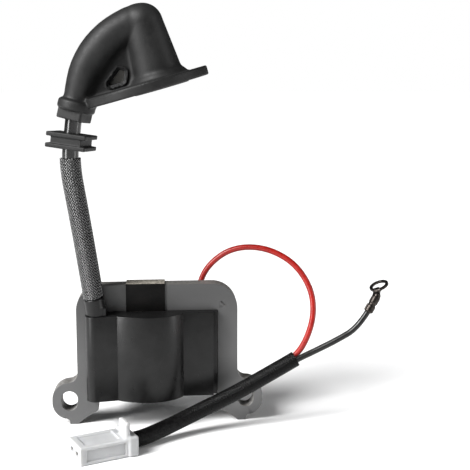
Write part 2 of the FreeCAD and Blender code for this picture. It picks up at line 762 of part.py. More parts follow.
def offset_route(points, sideways):
    """The sleeve's route moved to one side of it, level with the floor."""
    moved = []
    for index, point in enumerate(points):
        before = points[max(index - 1, 0)]
        after = points[min(index + 1, len(points) - 1)]
        along = math.hypot(after[0] - before[0], after[1] - before[1])
        shift_x = -(after[1] - before[1]) / along * sideways
        shift_y = (after[0] - before[0]) / along * sideways
        moved.append((point[0] + shift_x, point[1] + shift_y, point[2]))
    return moved


def on_plug(along, across, height):
    """A point given along and across the connector, on the floor's frame."""
    turn = math.radians(size("plug_turn"))
    x = size("plug_x") + along * math.cos(turn) - across * math.sin(turn)
    y = size("plug_y") + along * math.sin(turn) + across * math.cos(turn)
    return (x, y, height)


def contact_end(side):
    """Where a wire starts, in its contact's crimp."""
    return on_plug(size("wire_start"), side * size("contact_pitch") / 2, size("plug_height") / 2)


def wires():
    sleeve = route_edges(SLEEVE_ROUTE, "sleeve")
    feature("wire_sleeve", tube(sleeve, size("sleeve_diameter"), size("sleeve_bore")))
    red = [contact_end(1)] + offset_route(SLEEVE_ROUTE, size("wire_offset")) + RED_LOOP
    feature("red_primary_wire", tube(route_edges(red, "red"), size("wire_diameter")))
    black = [contact_end(-1)] + offset_route(SLEEVE_ROUTE, -size("wire_offset")) + GROUND_RUN
    feature("ground_wire", tube(route_edges(black, "black"), size("wire_diameter")))


# ---- the connector -----------------------------------------------------------------


def place_on_floor(body):
    bind(body, Placement__Base__x="<plug_x>", Placement__Base__y="<plug_y>")
    body.Placement = FreeCAD.Placement(body.Placement.Base, FreeCAD.Rotation(UP, size("plug_turn")))


def connector():
    long, half = size("plug_length"), size("plug_width") / 2
    proud, collar = size("plug_proud"), size("plug_flange")
    body = new_body("connector_housing")
    pad(body, new_sketch(body, "XY_Plane", rectangle(0, long, -half, half)), "<plug_height>")
    end = rectangle(long - collar, long, -half - proud, half + proud)
    pad(body, new_sketch(body, "XY_Plane", end), "<plug_height> + <plug_proud>")
    tab_right = -half + size("latch_width")
    reach = size("latch_length") / 2
    tab = rectangle(long - collar - reach, long - collar + reach, -half, tab_right)
    pad(body, new_sketch(body, "XY_Plane", tab), "<plug_height> + <latch_height>")
    middle, reach = size("plug_height") / 2, size("cavity_height") / 2
    for side in (-1, 1):
        centre = side * size("contact_pitch") / 2
        wide = size("cavity_width") / 2
        cavity = rectangle(centre - wide, centre + wide, middle - reach, middle + reach)
        pocket(body, new_sketch(body, "YZ_Plane", cavity), "<plug_length>", backwards=True)
    rear = size("sleeve_diameter") / 2 + 0.1
    inlet_side = half - size("inlet_wall")
    inlet = rectangle(-inlet_side, inlet_side, middle - rear, middle + rear)
    start = "<plug_length> - <plug_flange> - <inlet_step>"
    rear_sketch = new_sketch(body, "YZ_Plane", inlet, start)
    pocket(body, rear_sketch, "<plug_flange> + 2 * <inlet_step>", backwards=True)
    place_on_floor(body)


def contacts():
    """Two flat tabs, each with a crimp that holds its wire."""
    solids = []
    height = size("plug_height") / 2
    for side in (-1, 1):
        across = side * size("contact_pitch") / 2
        wide, gauge = size("blade_width"), size("blade_gauge")
        corner = Vec(size("blade_start"), across - wide / 2, height - gauge / 2)
        blade = Part.makeBox(size("blade_length"), wide, gauge, corner)
        crimp_at = Vec(size("crimp_start"), across, height)
        wire_at = Vec(size("wire_start"), across, height)
        along = Vec(1, 0, 0)
        crimp = Part.makeCylinder(size("crimp_radius"), size("crimp_length"), crimp_at, along)
        hold = Part.makeCylinder(size("wire_diameter") / 2, size("crimp_length"), wire_at, along)
        solids.append(blade.fuse(crimp).cut(hold))
    turn = FreeCAD.Rotation(UP, size("plug_turn"))
    place = FreeCAD.Placement(Vec(size("plug_x"), size("plug_y"), 0), turn)
    group = Part.makeCompound(solids)
    group.Placement = place
    feature("connector_contacts", group)


EYE_NORMAL = Vec(-0.389, -0.161, 0.907)
EYE_BACK = Vec(0.310, 0.940, 0.140)


def terminal():
    """A crimped barrel, a bent neck and a flat eye."""
    way = Vec(*GROUND_RUN[-1]).sub(Vec(*GROUND_RUN[-2])).normalize()
    grip, length = size("wire_grip"), size("barrel_length")
    start = Vec(*GROUND_RUN[-1]) - way * grip
    barrel = Part.makeCylinder(size("barrel_radius"), length, start, way)
    hold = Part.makeCylinder(size("wire_diameter") / 2, grip, start, way)
    end = start + way * length
    normal = Vec(EYE_NORMAL).normalize()
    back = (EYE_BACK - normal * EYE_BACK.dot(normal)).normalize()
    across = back.cross(normal)
    outer, gauge = size("eye_outer"), size("eye_gauge")
    eye_centre = end + way * size("eye_rise") + back * size("eye_setback")
    eye = Part.makeCylinder(outer, gauge, eye_centre, normal)

    def section(centre, wide, upward, tall):
        corners = [(-wide, -tall), (wide, -tall), (wide, tall), (-wide, tall)]
        places = [centre + across * (u / 2) + upward * (v / 2) for u, v in corners]
        return Part.Wire(Part.makePolygon(places + places[:1]))

    barrel_up = way.cross(across).normalize()
    low = section(end - way * size("neck_root"), size("neck_width"), barrel_up, size("neck_gauge"))
    edge = eye_centre - back * (outer - size("neck_lap")) + normal * (gauge / 2)
    high = section(edge, size("neck_end_width"), normal, gauge)
    neck = Part.makeLoft([low, high], True, True)
    hole = Part.makeCylinder(size("eye_inner"), 6, eye_centre - normal * 3, normal)
    feature("ring_terminal", barrel.cut(hold).fuse([eye, neck]).cut(hole).removeSplitter())


# ---- build, check and write ----------------------------------------------------------

core()
strap()
shell()
resin()
primary()
secondary()
circuit()
lead()
grommet()
boot()
wires()
connector()
contacts()
terminal()
doc.recompute()

for thing in doc.Objects:
    if "Invalid" in thing.State or "Error" in thing.State:
        raise RuntimeError(f"{thing.Label} failed to build")
os.makedirs("parts", exist_ok=True)
for piece in pieces:
    if piece.Shape.isNull() or not piece.Shape.isValid():
        raise RuntimeError(f"{piece.Label} has no valid shape")
    piece.Shape.exportStep(f"parts/{piece.Label}.step")
    print(piece.Label, "solids", len(piece.Shape.Solids), "volume", round(piece.Shape.Volume, 1))
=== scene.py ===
"""Ignition coil for a small engine: its looks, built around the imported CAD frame.

Blender objects are in metres. The distance fields that shape the moulded pieces work in
millimetres, and shape() turns their meshes into metres.
"""

import itertools
import json
import math
import random

import bmesh
import bpy
import numpy as np
from mathutils import Matrix, Vector


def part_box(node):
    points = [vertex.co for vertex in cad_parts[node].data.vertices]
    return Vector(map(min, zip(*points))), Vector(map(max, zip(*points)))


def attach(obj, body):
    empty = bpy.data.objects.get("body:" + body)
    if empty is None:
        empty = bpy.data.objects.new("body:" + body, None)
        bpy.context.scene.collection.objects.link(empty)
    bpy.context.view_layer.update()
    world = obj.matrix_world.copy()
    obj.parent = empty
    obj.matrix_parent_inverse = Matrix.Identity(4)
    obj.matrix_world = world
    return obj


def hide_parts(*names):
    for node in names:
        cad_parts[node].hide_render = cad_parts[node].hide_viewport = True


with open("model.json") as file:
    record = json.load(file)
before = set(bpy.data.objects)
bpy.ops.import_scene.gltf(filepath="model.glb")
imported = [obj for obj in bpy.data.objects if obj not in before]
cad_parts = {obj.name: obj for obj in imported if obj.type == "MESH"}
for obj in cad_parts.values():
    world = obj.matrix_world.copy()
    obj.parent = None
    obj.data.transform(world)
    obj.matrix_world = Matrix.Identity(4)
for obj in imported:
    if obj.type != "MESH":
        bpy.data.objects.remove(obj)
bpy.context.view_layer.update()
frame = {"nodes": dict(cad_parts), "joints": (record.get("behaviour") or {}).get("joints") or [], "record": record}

MM = 0.001
MOUNTS = {mount["name"]: mount for mount in frame["record"]["mounts"]}
JOINTS = {joint["name"]: joint for joint in frame["joints"]}
SEED = 7


def in_mm(point):
    return Vector(point) / MM


def box_mm(node):
    low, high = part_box(node)
    return low / MM, high / MM


# ---- camera, floor and lights ----

CAMERA_PLACE = (0.00284, -0.290, 0.10968)
CAMERA_YAW = 0.0754
CAMERA_PITCH = 0.1443
CAMERA_ROLL = 0.0003
CAMERA_LENS = 71.5
CAMERA_SHIFT = -0.05
CAMERA_CLIP = (0.01, 20)
SENSOR = 36.0
LIGHTS_AIM = (0, 0, 0.05)
SUN_WAY = (0.88, 0.58, -1)
FLOOR_HALF = 6.0


def link(thing):
    bpy.context.scene.collection.objects.link(thing)
    return thing


def make_camera():
    data = bpy.data.cameras.new("camera")
    data.sensor_width = SENSOR
    data.lens = CAMERA_LENS
    data.shift_y = CAMERA_SHIFT
    data.clip_start, data.clip_end = CAMERA_CLIP
    camera = link(bpy.data.objects.new("camera", data))
    forward = Vector((
        math.sin(CAMERA_YAW) * math.cos(CAMERA_PITCH),
        math.cos(CAMERA_YAW) * math.cos(CAMERA_PITCH),
        -math.sin(CAMERA_PITCH),
    ))
    level = Vector((math.cos(CAMERA_YAW), -math.sin(CAMERA_YAW), 0))
    upright = level.cross(forward)
    right = level * math.cos(CAMERA_ROLL) + upright * math.sin(CAMERA_ROLL)
    up = upright * math.cos(CAMERA_ROLL) - level * math.sin(CAMERA_ROLL)
    turn = Matrix((right, up, -forward)).transposed()
    camera.matrix_world = Matrix.Translation(CAMERA_PLACE) @ turn.to_4x4()
    bpy.context.scene.camera = camera


def area_light(name, place, width, height, power):
    data = bpy.data.lights.new(name, "AREA")
    data.shape = "RECTANGLE"
    data.size = width
    data.size_y = height
    data.energy = power
    light = link(bpy.data.objects.new(name, data))
    light.location = place
    light.rotation_euler = (Vector(LIGHTS_AIM) - Vector(place)).to_track_quat("-Z", "Y").to_euler()


def make_lights():
    area_light("softbox_left", (-0.46, -0.26, 0.24), width=0.12, height=0.60, power=4.2)
    area_light("softbox_right", (0.50, -0.16, 0.22), width=0.06, height=0.50, power=1.3)
    sun = bpy.data.lights.new("sky", "SUN")
    sun.energy = 5.4
    sun.angle = math.radians(30)
    lamp = link(bpy.data.objects.new("sky", sun))
    lamp.rotation_euler = Vector(SUN_WAY).to_track_quat("-Z", "Y").to_euler()

    world = bpy.data.worlds.new("studio")
    bpy.context.scene.world = world
    world.use_nodes = True
    tree = world.node_tree
    tree.nodes.clear()
    out = tree.nodes.new("ShaderNodeOutputWorld")
    seen = tree.nodes.new("ShaderNodeBackground")
    seen.inputs["Color"].default_value = (1, 1, 1, 1)
    seen.inputs["Strength"].default_value = 1.0
    fill = tree.nodes.new("ShaderNodeBackground")
    fill.inputs["Color"].default_value = (0.96, 0.98, 1, 1)
    fill.inputs["Strength"].default_value = 0.08
    path = tree.nodes.new("ShaderNodeLightPath")
    mix = tree.nodes.new("ShaderNodeMixShader")
    tree.links.new(path.outputs["Is Camera Ray"], mix.inputs["Fac"])
    tree.links.new(fill.outputs["Background"], mix.inputs[1])
    tree.links.new(seen.outputs["Background"], mix.inputs[2])
    tree.links.new(mix.outputs["Shader"], out.inputs["Surface"])
    bpy.context.scene.view_settings.view_transform = "Standard"


def make_floor(surface):
    mesh = bpy.data.meshes.new("floor")
    corners = [(x * FLOOR_HALF, y * FLOOR_HALF, 0) for x, y in ((-1, -1), (1, -1), (1, 1), (-1, 1))]
    mesh.from_pydata(corners, [], [(0, 1, 2, 3)])
    floor = link(bpy.data.objects.new("floor", mesh))
    mesh.materials.append(surface)


# ---- materials ----


class Surface:
    """A material under construction: a Principled shader and what drives it."""

    def __init__(self, name):
        self.material = bpy.data.materials.new(name)
        self.material.use_nodes = True
        self.tree = self.material.node_tree
        self.shader = self.tree.nodes["Principled BSDF"]
        self.place = self.tree.nodes.new("ShaderNodeTexCoord").outputs["Object"]
        self.normal = None

    def set(self, **values):
        for socket, value in values.items():
            self.shader.inputs[socket.replace("_", " ")].default_value = value
        return self

    def place_mm(self):
        """The place on the object, in millimetres."""
        mapping = self.tree.nodes.new("ShaderNodeMapping")
        mapping.inputs["Scale"].default_value = (1 / MM, 1 / MM, 1 / MM)
        self.tree.links.new(self.place, mapping.inputs["Vector"])
        return mapping.outputs["Vector"]

    def noise(self, grain, detail=3.0):
        """Noise whose features are about grain millimetres across."""
        node = self.tree.nodes.new("ShaderNodeTexNoise")
        node.inputs["Scale"].default_value = 1 / grain
        node.inputs["Detail"].default_value = detail
        self.tree.links.new(self.place_mm(), node.inputs["Vector"])
        return node.outputs["Fac"]

    def cells(self, grain, feature="F1"):
        node = self.tree.nodes.new("ShaderNodeTexVoronoi")
        node.feature = feature
        node.inputs["Scale"].default_value = 1 / grain
        self.tree.links.new(self.place_mm(), node.inputs["Vector"])
        return node.outputs["Distance"]

    def ramp(self, factor, *stops):
        node = self.tree.nodes.new("ShaderNodeValToRGB")
        points = node.color_ramp.elements
        while len(points) < len(stops):
            points.new(0.5)
        for point, (position, colour) in zip(points, stops):
            point.position = position
            point.color = (*colour, 1)
        self.tree.links.new(factor, node.inputs["Fac"])
        return node.outputs["Color"]

    def span(self, factor, low, high, start=0.3, end=0.7):
        node = self.tree.nodes.new("ShaderNodeMapRange")
        node.inputs["From Min"].default_value = start
        node.inputs["From Max"].default_value = end
        node.inputs["To Min"].default_value = low
        node.inputs["To Max"].default_value = high
        self.tree.links.new(factor, node.inputs["Value"])
        return node.outputs["Result"]

    def mix(self, factor, first, second):
        node = self.tree.nodes.new("ShaderNodeMix")
        node.data_type = "RGBA"
        self.tree.links.new(factor, node.inputs["Factor"])
        for socket, colour in (("A", first), ("B", second)):
            target = next(s for s in node.inputs if s.name == socket and s.type == "RGBA")
            if isinstance(colour, tuple):
                target.default_value = (*colour, 1)
            else:
                self.tree.links.new(colour, target)
        return next(s for s in node.outputs if s.type == "RGBA")

    def edges(self, low=0.52, high=0.62):
        """1 on outside edges, 0 on flats and in hollows."""
        node = self.tree.nodes.new("ShaderNodeNewGeometry")
        return self.span(node.outputs["Pointiness"], 0.0, 1.0, low, high)

    def along(self, axis, low, high):
        """Runs from 0 to 1 between two places on one of the object's axes, in millimetres."""
        parts = self.tree.nodes.new("ShaderNodeSeparateXYZ")
        self.tree.links.new(self.place_mm(), parts.inputs["Vector"])
        return self.span(parts.outputs[axis], 0.0, 1.0, low, high)

    def facing(self, axis, low, high):
        """0 where the surface lies across one of the object's axes, 1 where it faces along it."""
        coordinates = self.tree.nodes.new("ShaderNodeTexCoord")
        parts = self.tree.nodes.new("ShaderNodeSeparateXYZ")
        self.tree.links.new(coordinates.outputs["Normal"], parts.inputs["Vector"])
        size = self.tree.nodes.new("ShaderNodeMath")
        size.operation = "ABSOLUTE"
        self.tree.links.new(parts.outputs[axis], size.inputs[0])
        return self.span(size.outputs["Value"], 0.0, 1.0, low, high)

    def drive(self, **sources):
        for socket, source in sources.items():
            self.tree.links.new(source, self.shader.inputs[socket.replace("_", " ")])
        return self

    def bump(self, height, depth):
        """Relief of depth millimetres, on top of any made before."""
        node = self.tree.nodes.new("ShaderNodeBump")
        node.inputs["Strength"].default_value = 1.0
        node.inputs["Distance"].default_value = depth * MM
        self.tree.links.new(height, node.inputs["Height"])
        if self.normal:
            self.tree.links.new(self.normal, node.inputs["Normal"])
        self.normal = node.outputs["Normal"]
        self.tree.links.new(self.normal, self.shader.inputs["Normal"])
        return self


def grey(value):
    return (value, value, value)


def plain_surface(name, dark, light, patch, rough, grain, relief, metallic=0.0):
    """Two tones in soft patches, uneven gloss and a fine grain."""
    made = Surface(name)
    made.set(Metallic=metallic)
    made.drive(Base_Color=made.ramp(made.noise(patch), (0.3, dark), (0.7, light)))
    made.drive(Roughness=made.span(made.noise(patch / 3), *rough))
    made.bump(made.noise(grain, 2.0), relief)
    return made


def floor_surface():
    made = Surface("pale_floor")
    made.drive(Base_Color=made.ramp(made.noise(60.0), (0.3, grey(0.86)), (0.7, grey(0.88))))
    made.set(Roughness=0.75, Specular_IOR_Level=0.2)
    return made


def steel_surface():
    """Varnished sheet steel: grey, darker up at the yoke, with browner cut edges."""
    made = Surface("lamination_steel")
    made.set(Metallic=0.3)
    skin = made.ramp(made.noise(16.0, 2.0), (0.3, grey(0.092)), (0.7, grey(0.104)))
    speck = made.span(made.noise(0.25, 2.0), 0.0, 0.2, 0.6, 0.85)
    skin = made.mix(speck, skin, grey(0.15))
    # Darker towards the top, between 22 and 41 mm up.
    skin = made.mix(made.along("Z", 22.0, 41.0), skin, grey(0.056))
    cut_edge = made.ramp(made.noise(0.9, 4.0), (0.35, (0.085, 0.078, 0.07)), (0.7, (0.19, 0.185, 0.175)))
    made.drive(Base_Color=made.mix(made.facing("Y", 0.35, 0.8), cut_edge, skin))
    made.drive(Roughness=made.span(made.noise(3.5, 3.0), 0.42, 0.52))
    made.bump(made.noise(0.2, 3.0), 0.005)
    return made


def case_surface():
    """Satin black moulded plastic: a fine spark-eroded grain and a few rubbed edges."""
    made = Surface("moulded_case")
    made.set(Specular_IOR_Level=0.26)
    tone = made.ramp(made.noise(5.0, 3.0), (0.3, grey(0.0035)), (0.7, grey(0.0075)))
    rubbed = made.span(made.noise(0.8, 4.0), 0.0, 0.035, 0.62, 0.85)
    made.drive(Base_Color=made.mix(rubbed, tone, (0.06, 0.055, 0.05)))
    made.drive(Roughness=made.span(made.noise(1.2, 4.0), 0.27, 0.37))
    made.bump(made.noise(0.14, 3.0), 0.006)
    made.bump(made.noise(9.0, 1.0), 0.08)
    return made


def strap_surface():
    """Blackened band: dark and even down its sides; its upward faces are painted lighter grey-brown, a painted
    highlight for the light from above.
    """
    made = Surface("blackened_strap")
    made.set(Specular_IOR_Level=0.10)
    tone = made.ramp(made.noise(3.0, 3.0), (0.3, grey(0.002)), (0.75, (0.0042, 0.0038, 0.0036)))
    # Painted highlight: faces that point up are painted lighter grey-brown for the light from above.
    painted_top_highlight = made.ramp(made.noise(0.5, 5.0), (0.35, (0.05, 0.045, 0.038)), (0.62, (0.34, 0.315, 0.27)))
    made.drive(Base_Color=made.mix(made.facing("Z", 0.5, 0.9), tone, painted_top_highlight))
    made.drive(Roughness=made.span(made.noise(0.9, 5.0), 0.42, 0.6))
    made.bump(made.noise(0.5, 4.0), 0.02)
    return made


def rubber_surface():
    """Matte black rubber with a soft bloom and a fine moulded grain."""
    made = Surface("black_rubber")
    made.set(Specular_IOR_Level=0.24)
    tone = made.ramp(made.noise(6.0, 4.0), (0.3, grey(0.005)), (0.75, grey(0.012)))
    bloom = made.span(made.noise(0.5, 5.0), 0.0, 0.4, 0.55, 0.85)
    made.drive(Base_Color=made.mix(bloom, tone, grey(0.020)))
    made.drive(Roughness=made.span(made.noise(1.5, 4.0), 0.48, 0.60))
    made.bump(made.cells(0.22), 0.010)
    made.bump(made.noise(4.0, 2.0), 0.05)
    return made


def jacket_surface():
    """Glossy black silicone jacket of the high-tension lead."""
    made = plain_surface("lead_jacket", grey(0.004), grey(0.008), 5.0, (0.16, 0.24), 0.8, 0.010)
    made.set(Specular_IOR_Level=0.60)
    return made


def yarn_surface(name, low, high, rough, shine):
    """Varnished black yarn: fine fibres along it and a sheen."""
    made = Surface(name)
    made.set(Specular_IOR_Level=shine)
    made.drive(Base_Color=made.ramp(made.noise(1.1, 3.0), (0.3, grey(low)), (0.7, grey(high))))
    made.drive(Roughness=made.span(made.noise(0.4, 3.0), *rough))
    made.bump(made.noise(0.09, 2.0), 0.004)
    return made


def wire_surface(name, dark, light):
    """Extruded wire insulation: smooth, with faint drag marks and handling dust."""
    made = plain_surface(name, dark, light, 3.0, (0.24, 0.36), 0.5, 0.010)
    made.set(Specular_IOR_Level=0.35)
    return made


def nylon_surface():
    """Milky nylon that lets light through its thin walls."""
    made = Surface("white_nylon")
    made.set(Subsurface_Weight=0.7, Subsurface_Scale=0.0022, Specular_IOR_Level=0.35)
    made.set(Subsurface_Radius=(1.0, 0.95, 0.85))
    tone = made.ramp(made.noise(4.0, 3.0), (0.3, (0.36, 0.363, 0.368)), (0.7, (0.41, 0.414, 0.42)))
    made.drive(Base_Color=tone)
    made.drive(Roughness=made.span(made.noise(1.0, 3.0), 0.32, 0.45))
    made.bump(made.noise(0.3, 3.0), 0.010)
    return made


def terminal_surface():
    """Dull dark metal, a little brown, rubbed brighter on its edges."""
    made = Surface("dark_terminal")
    made.set(Metallic=1.0)
    tin = made.ramp(made.noise(1.2, 4.0), (0.3, (0.018, 0.016, 0.015)), (0.7, (0.055, 0.047, 0.042)))
    made.drive(Base_Color=made.mix(made.edges(0.56, 0.7), tin, (0.12, 0.105, 0.09)))
    made.drive(Roughness=made.span(made.noise(0.7, 4.0), 0.28, 0.45))
    made.bump(made.noise(0.3, 4.0), 0.02)
    return made


def resin_surface():
    """Black potting resin with shallow pits and a glossy skin."""
    made = plain_surface("potting_resin", grey(0.006), grey(0.011), 8.0, (0.12, 0.28), 2.2, 0.06)
    made.bump(made.cells(1.7, "SMOOTH_F1"), 0.03)
    return made


def copper_surface():
    """Enamelled copper turns, lying side by side across the coil's axis."""
    made = Surface("enamelled_copper")
    made.set(Metallic=1.0)
    tone = made.ramp(made.noise(1.4), (0.3, (0.42, 0.14, 0.05)), (0.7, (0.62, 0.25, 0.10)))
    made.drive(Base_Color=tone)
    made.drive(Roughness=made.span(made.noise(0.8), 0.22, 0.36))
    turns = made.tree.nodes.new("ShaderNodeTexWave")
    turns.bands_direction = "Z"
    turns.inputs["Scale"].default_value = 1.0
    made.tree.links.new(made.place_mm(), turns.inputs["Vector"])
    made.bump(turns.outputs["Fac"], 0.06)
    return made


def board_surface():
    made = Surface("circuit_board")
    weave = made.cells(0.5)
    made.drive(Base_Color=made.ramp(weave, (0.2, (0.015, 0.07, 0.03)), (0.8, (0.03, 0.13, 0.055))))
    made.drive(Roughness=made.span(made.noise(1.0), 0.3, 0.45))
    made.bump(weave, 0.02)
    return made


SURFACES = {
    "core_steel": steel_surface(),
    "strap": strap_surface(),
    "case": case_surface(),
    "rubber": rubber_surface(),
    # Light grey rubber for the thin skin that fills the boot's window.
    "window_grey_rubber": plain_surface(
        "window_grey_rubber", (0.16, 0.152, 0.140), (0.22, 0.212, 0.195), 2.0, (0.6, 0.75), 0.3, 0.02
    ),
    "lead_jacket": jacket_surface(),
    "braid": yarn_surface("braid_yarn", 0.001, 0.002, (0.11, 0.17), 1.0),
    "sleeve": yarn_surface("sleeve_yarn", 0.0015, 0.005, (0.14, 0.22), 0.10),
    "red_wire": wire_surface("red_insulation", (0.20, 0.006, 0.004), (0.27, 0.011, 0.007)),
    "black_wire": wire_surface("black_insulation", grey(0.004), grey(0.008)),
    "nylon": nylon_surface(),
    "terminal": terminal_surface(),
    "resin": resin_surface(),
    "copper": copper_surface(),
    "board": board_surface(),
    "brass": plain_surface(
        "brass", (0.50, 0.34, 0.11), (0.68, 0.49, 0.20), 1.5, (0.2, 0.34), 0.4, 0.02, metallic=1.0
    ),
    "bobbin": plain_surface(
        "bobbin", (0.11, 0.08, 0.05), (0.17, 0.13, 0.08), 4.0, (0.4, 0.55), 0.3, 0.02
    ),
    "component": plain_surface(
        "component", grey(0.015), grey(0.03), 1.5, (0.4, 0.6), 0.25, 0.02
    ),
    "component_tan": plain_surface(
        "capacitor", (0.45, 0.26, 0.08), (0.58, 0.36, 0.13), 2.0, (0.25, 0.4), 0.5, 0.03
    ),
}


# ---- making pieces ----


def piece(name, mesh, body, slot, replaces=(), smooth_angle=35, finish=None):
    """A mesh or curve as a piece of the object, on its body and with its slot's finish."""
    made = link(bpy.data.objects.new(name, mesh))
    mesh.materials.clear()
    mesh.materials.append(SURFACES[finish or slot].material)
    if made.type == "MESH":
        mesh.polygons.foreach_set("use_smooth", [True] * len(mesh.polygons))
        mesh.set_sharp_from_angle(angle=math.radians(smooth_angle))
    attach(made, body)
    if replaces:
        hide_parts(*replaces)
    return made


def from_bmesh(name, bm):
    mesh = bpy.data.meshes.new(name)
    bm.to_mesh(mesh)
    bm.free()
    return mesh


WELD = 0.002 * MM
FLAT = math.radians(0.5)
SHARP = math.radians(30)


def cleaned(node):
    """A bmesh of a CAD node's shape, with its flat faces whole again."""
    bm = bmesh.new()
    bm.from_mesh(frame["nodes"][node].data)
    bmesh.ops.remove_doubles(bm, verts=bm.verts, dist=WELD)
    bmesh.ops.dissolve_limit(
        bm, angle_limit=FLAT, verts=bm.verts, edges=bm.edges, delimit={"NORMAL"}
    )
    return bm


def softened(node, radius, segments=3):
    """A CAD node's shape with its edges rounded, radius in millimetres."""
    bm = cleaned(node)
    sharp = [
        edge for edge in bm.edges
        if len(edge.link_faces) == 2 and edge.calc_face_angle(0) > SHARP
    ]
    bmesh.ops.bevel(
        bm, geom=sharp, offset=radius * MM, segments=segments, profile=0.5,
        affect="EDGES", clamp_overlap=True,
    )
    return from_bmesh(node, bm)


# ---- distance fields, in millimetres ----

MARGIN = Vector((1, 1, 1))


def shape(name, distance, low, high, cell):
    """Surface nets: a mesh of quads where distance(x, y, z) is zero."""
    low = np.array(low, float)
    axes = [np.arange(a, b + cell, cell) for a, b in zip(low, high)]
    inside = distance(*np.meshgrid(*axes, indexing="ij")) < 0
    size = [n - 1 for n in inside.shape]
    filled = np.zeros(size, int)
    for corner in itertools.product((0, 1), repeat=3):
        filled += inside[tuple(slice(c, c + n) for c, n in zip(corner, size))]
    crossed = (filled > 0) & (filled < 8)
    index = np.full(size, -1)
    index[crossed] = np.arange(crossed.sum())
    centres = low + (np.argwhere(crossed) + 0.5) * cell
    points = on_surface(distance, centres, cell)
    quads = []
    for axis in range(3):
        u, v = (axis + 1) % 3, (axis + 2) % 3
        here = np.take(inside, range(inside.shape[axis] - 1), axis)
        ahead = np.take(inside, range(1, inside.shape[axis]), axis)
        edges = np.argwhere(here != ahead)
        corners = []
        for du, dv in ((1, 1), (0, 1), (0, 0), (1, 0)):
            cells = edges.copy()
            cells[:, u] -= du
            cells[:, v] -= dv
            corners.append(index[tuple(cells.T)])
        around = np.stack(corners, axis=1)
        inward = ~here[tuple(edges.T)]
        around[inward] = around[inward][:, ::-1]
        quads.extend(around.tolist())
    mesh = bpy.data.meshes.new(name)
    mesh.from_pydata((points * MM).tolist(), [], quads)
    return mesh


def on_surface(distance, points, cell):
    """Moves points onto the zero of a distance field, by less than a cell."""
    start, reach, farthest, rounds = points.copy(), 0.05, 0.62 * cell, 5
    for _ in range(rounds):
        value = distance(*points.T)
        slope = np.stack([
            (distance(*(points + step).T) - distance(*(points - step).T)) / (2 * reach)
            for step in np.eye(3) * reach
        ], axis=1)
        steep = np.maximum((slope ** 2).sum(1), 0.05)
        points = points - slope * (value / steep)[:, None]
        points = start + np.clip(points - start, -farthest, farthest)
    return points


def axes_along(way, turn=0.0):
    """Three unit vectors: two across a direction, turned about it, and the direction."""
    way = Vector(way).normalized()
    side = (Vector((1, 0, 0)) - way * way.x).normalized()
    side = Matrix.Rotation(turn, 3, way) @ side
    return side, way.cross(side), way


def local(x, y, z, centre, axes):
    return [
        (x - centre[0]) * a[0] + (y - centre[1]) * a[1] + (z - centre[2]) * a[2] for a in axes
    ]


def block(x, y, z, centre, axes, half, rounding):
    """A box given by its centre, its axes and half its sizes."""
    inner = [h - rounding for h in half]
    over = [np.abs(c) - h for c, h in zip(local(x, y, z, centre, axes), inner)]
    outside = np.sqrt(sum(np.maximum(d, 0) ** 2 for d in over))
    inside = np.minimum(np.maximum(np.maximum(over[0], over[1]), over[2]), 0)
    return outside + inside - rounding


def disc(x, y, z, centre, axes, radius, half, rounding):
    """A round disc or pin about its last axis."""
    a, b, c = local(x, y, z, centre, axes)
    across = np.sqrt(a * a + b * b) - radius + rounding
    along = np.abs(c) - half + rounding
    outside = np.sqrt(np.maximum(across, 0) ** 2 + np.maximum(along, 0) ** 2)
    return outside + np.minimum(np.maximum(across, along), 0) - rounding


def rod(x, y, z, start, end, start_radius, end_radius=None):
    """A round-ended rod that may taper."""
    end_radius = start_radius if end_radius is None else end_radius
    way = Vector(end) - Vector(start)
    dx, dy, dz = x - start[0], y - start[1], z - start[2]
    along = np.clip((dx * way.x + dy * way.y + dz * way.z) / way.length_squared, 0, 1)
    apart = (dx - along * way.x) ** 2 + (dy - along * way.y) ** 2 + (dz - along * way.z) ** 2
    return np.sqrt(apart) - (start_radius + along * (end_radius - start_radius))


def outline(u, v, corners):
    """Signed distance to a polygon in a plane."""
    nearest = np.full(np.shape(u), 1e9)
    inside = np.ones(np.shape(u))
    for (au, av), (bu, bv) in zip(corners, corners[1:] + corners[:1]):
        eu, ev = bu - au, bv - av
        wu, wv = u - au, v - av
        along = np.clip((wu * eu + wv * ev) / (eu * eu + ev * ev), 0, 1)
        nearest = np.minimum(nearest, (wu - eu * along) ** 2 + (wv - ev * along) ** 2)
        above, rising = v >= av, v < bv
        left = eu * wv > ev * wu
        crossing = (above & rising & left) | (~above & ~rising & ~left)
        inside = np.where(crossing, -inside, inside)
    return inside * np.sqrt(nearest)


def slab(plan, across, half, rounding=0.0):
    """A flat plan given a thickness, with rounded edges."""
    a, b = plan + rounding, np.abs(across) - half + rounding
    outside = np.sqrt(np.maximum(a, 0) ** 2 + np.maximum(b, 0) ** 2)
    return outside + np.minimum(np.maximum(a, b), 0) - rounding


def joined(first, second, fillet):
    """Both shapes, with a fillet where they meet."""
    share = np.clip(0.5 + 0.5 * (second - first) / fillet, 0, 1)
    return second * (1 - share) + first * share - fillet * share * (1 - share)


def cut(first, second, fillet):
    """The first shape with the second taken away."""
    return -joined(-first, second, fillet)


# ---- the cords' routes, as in the CAD model, in metres ----

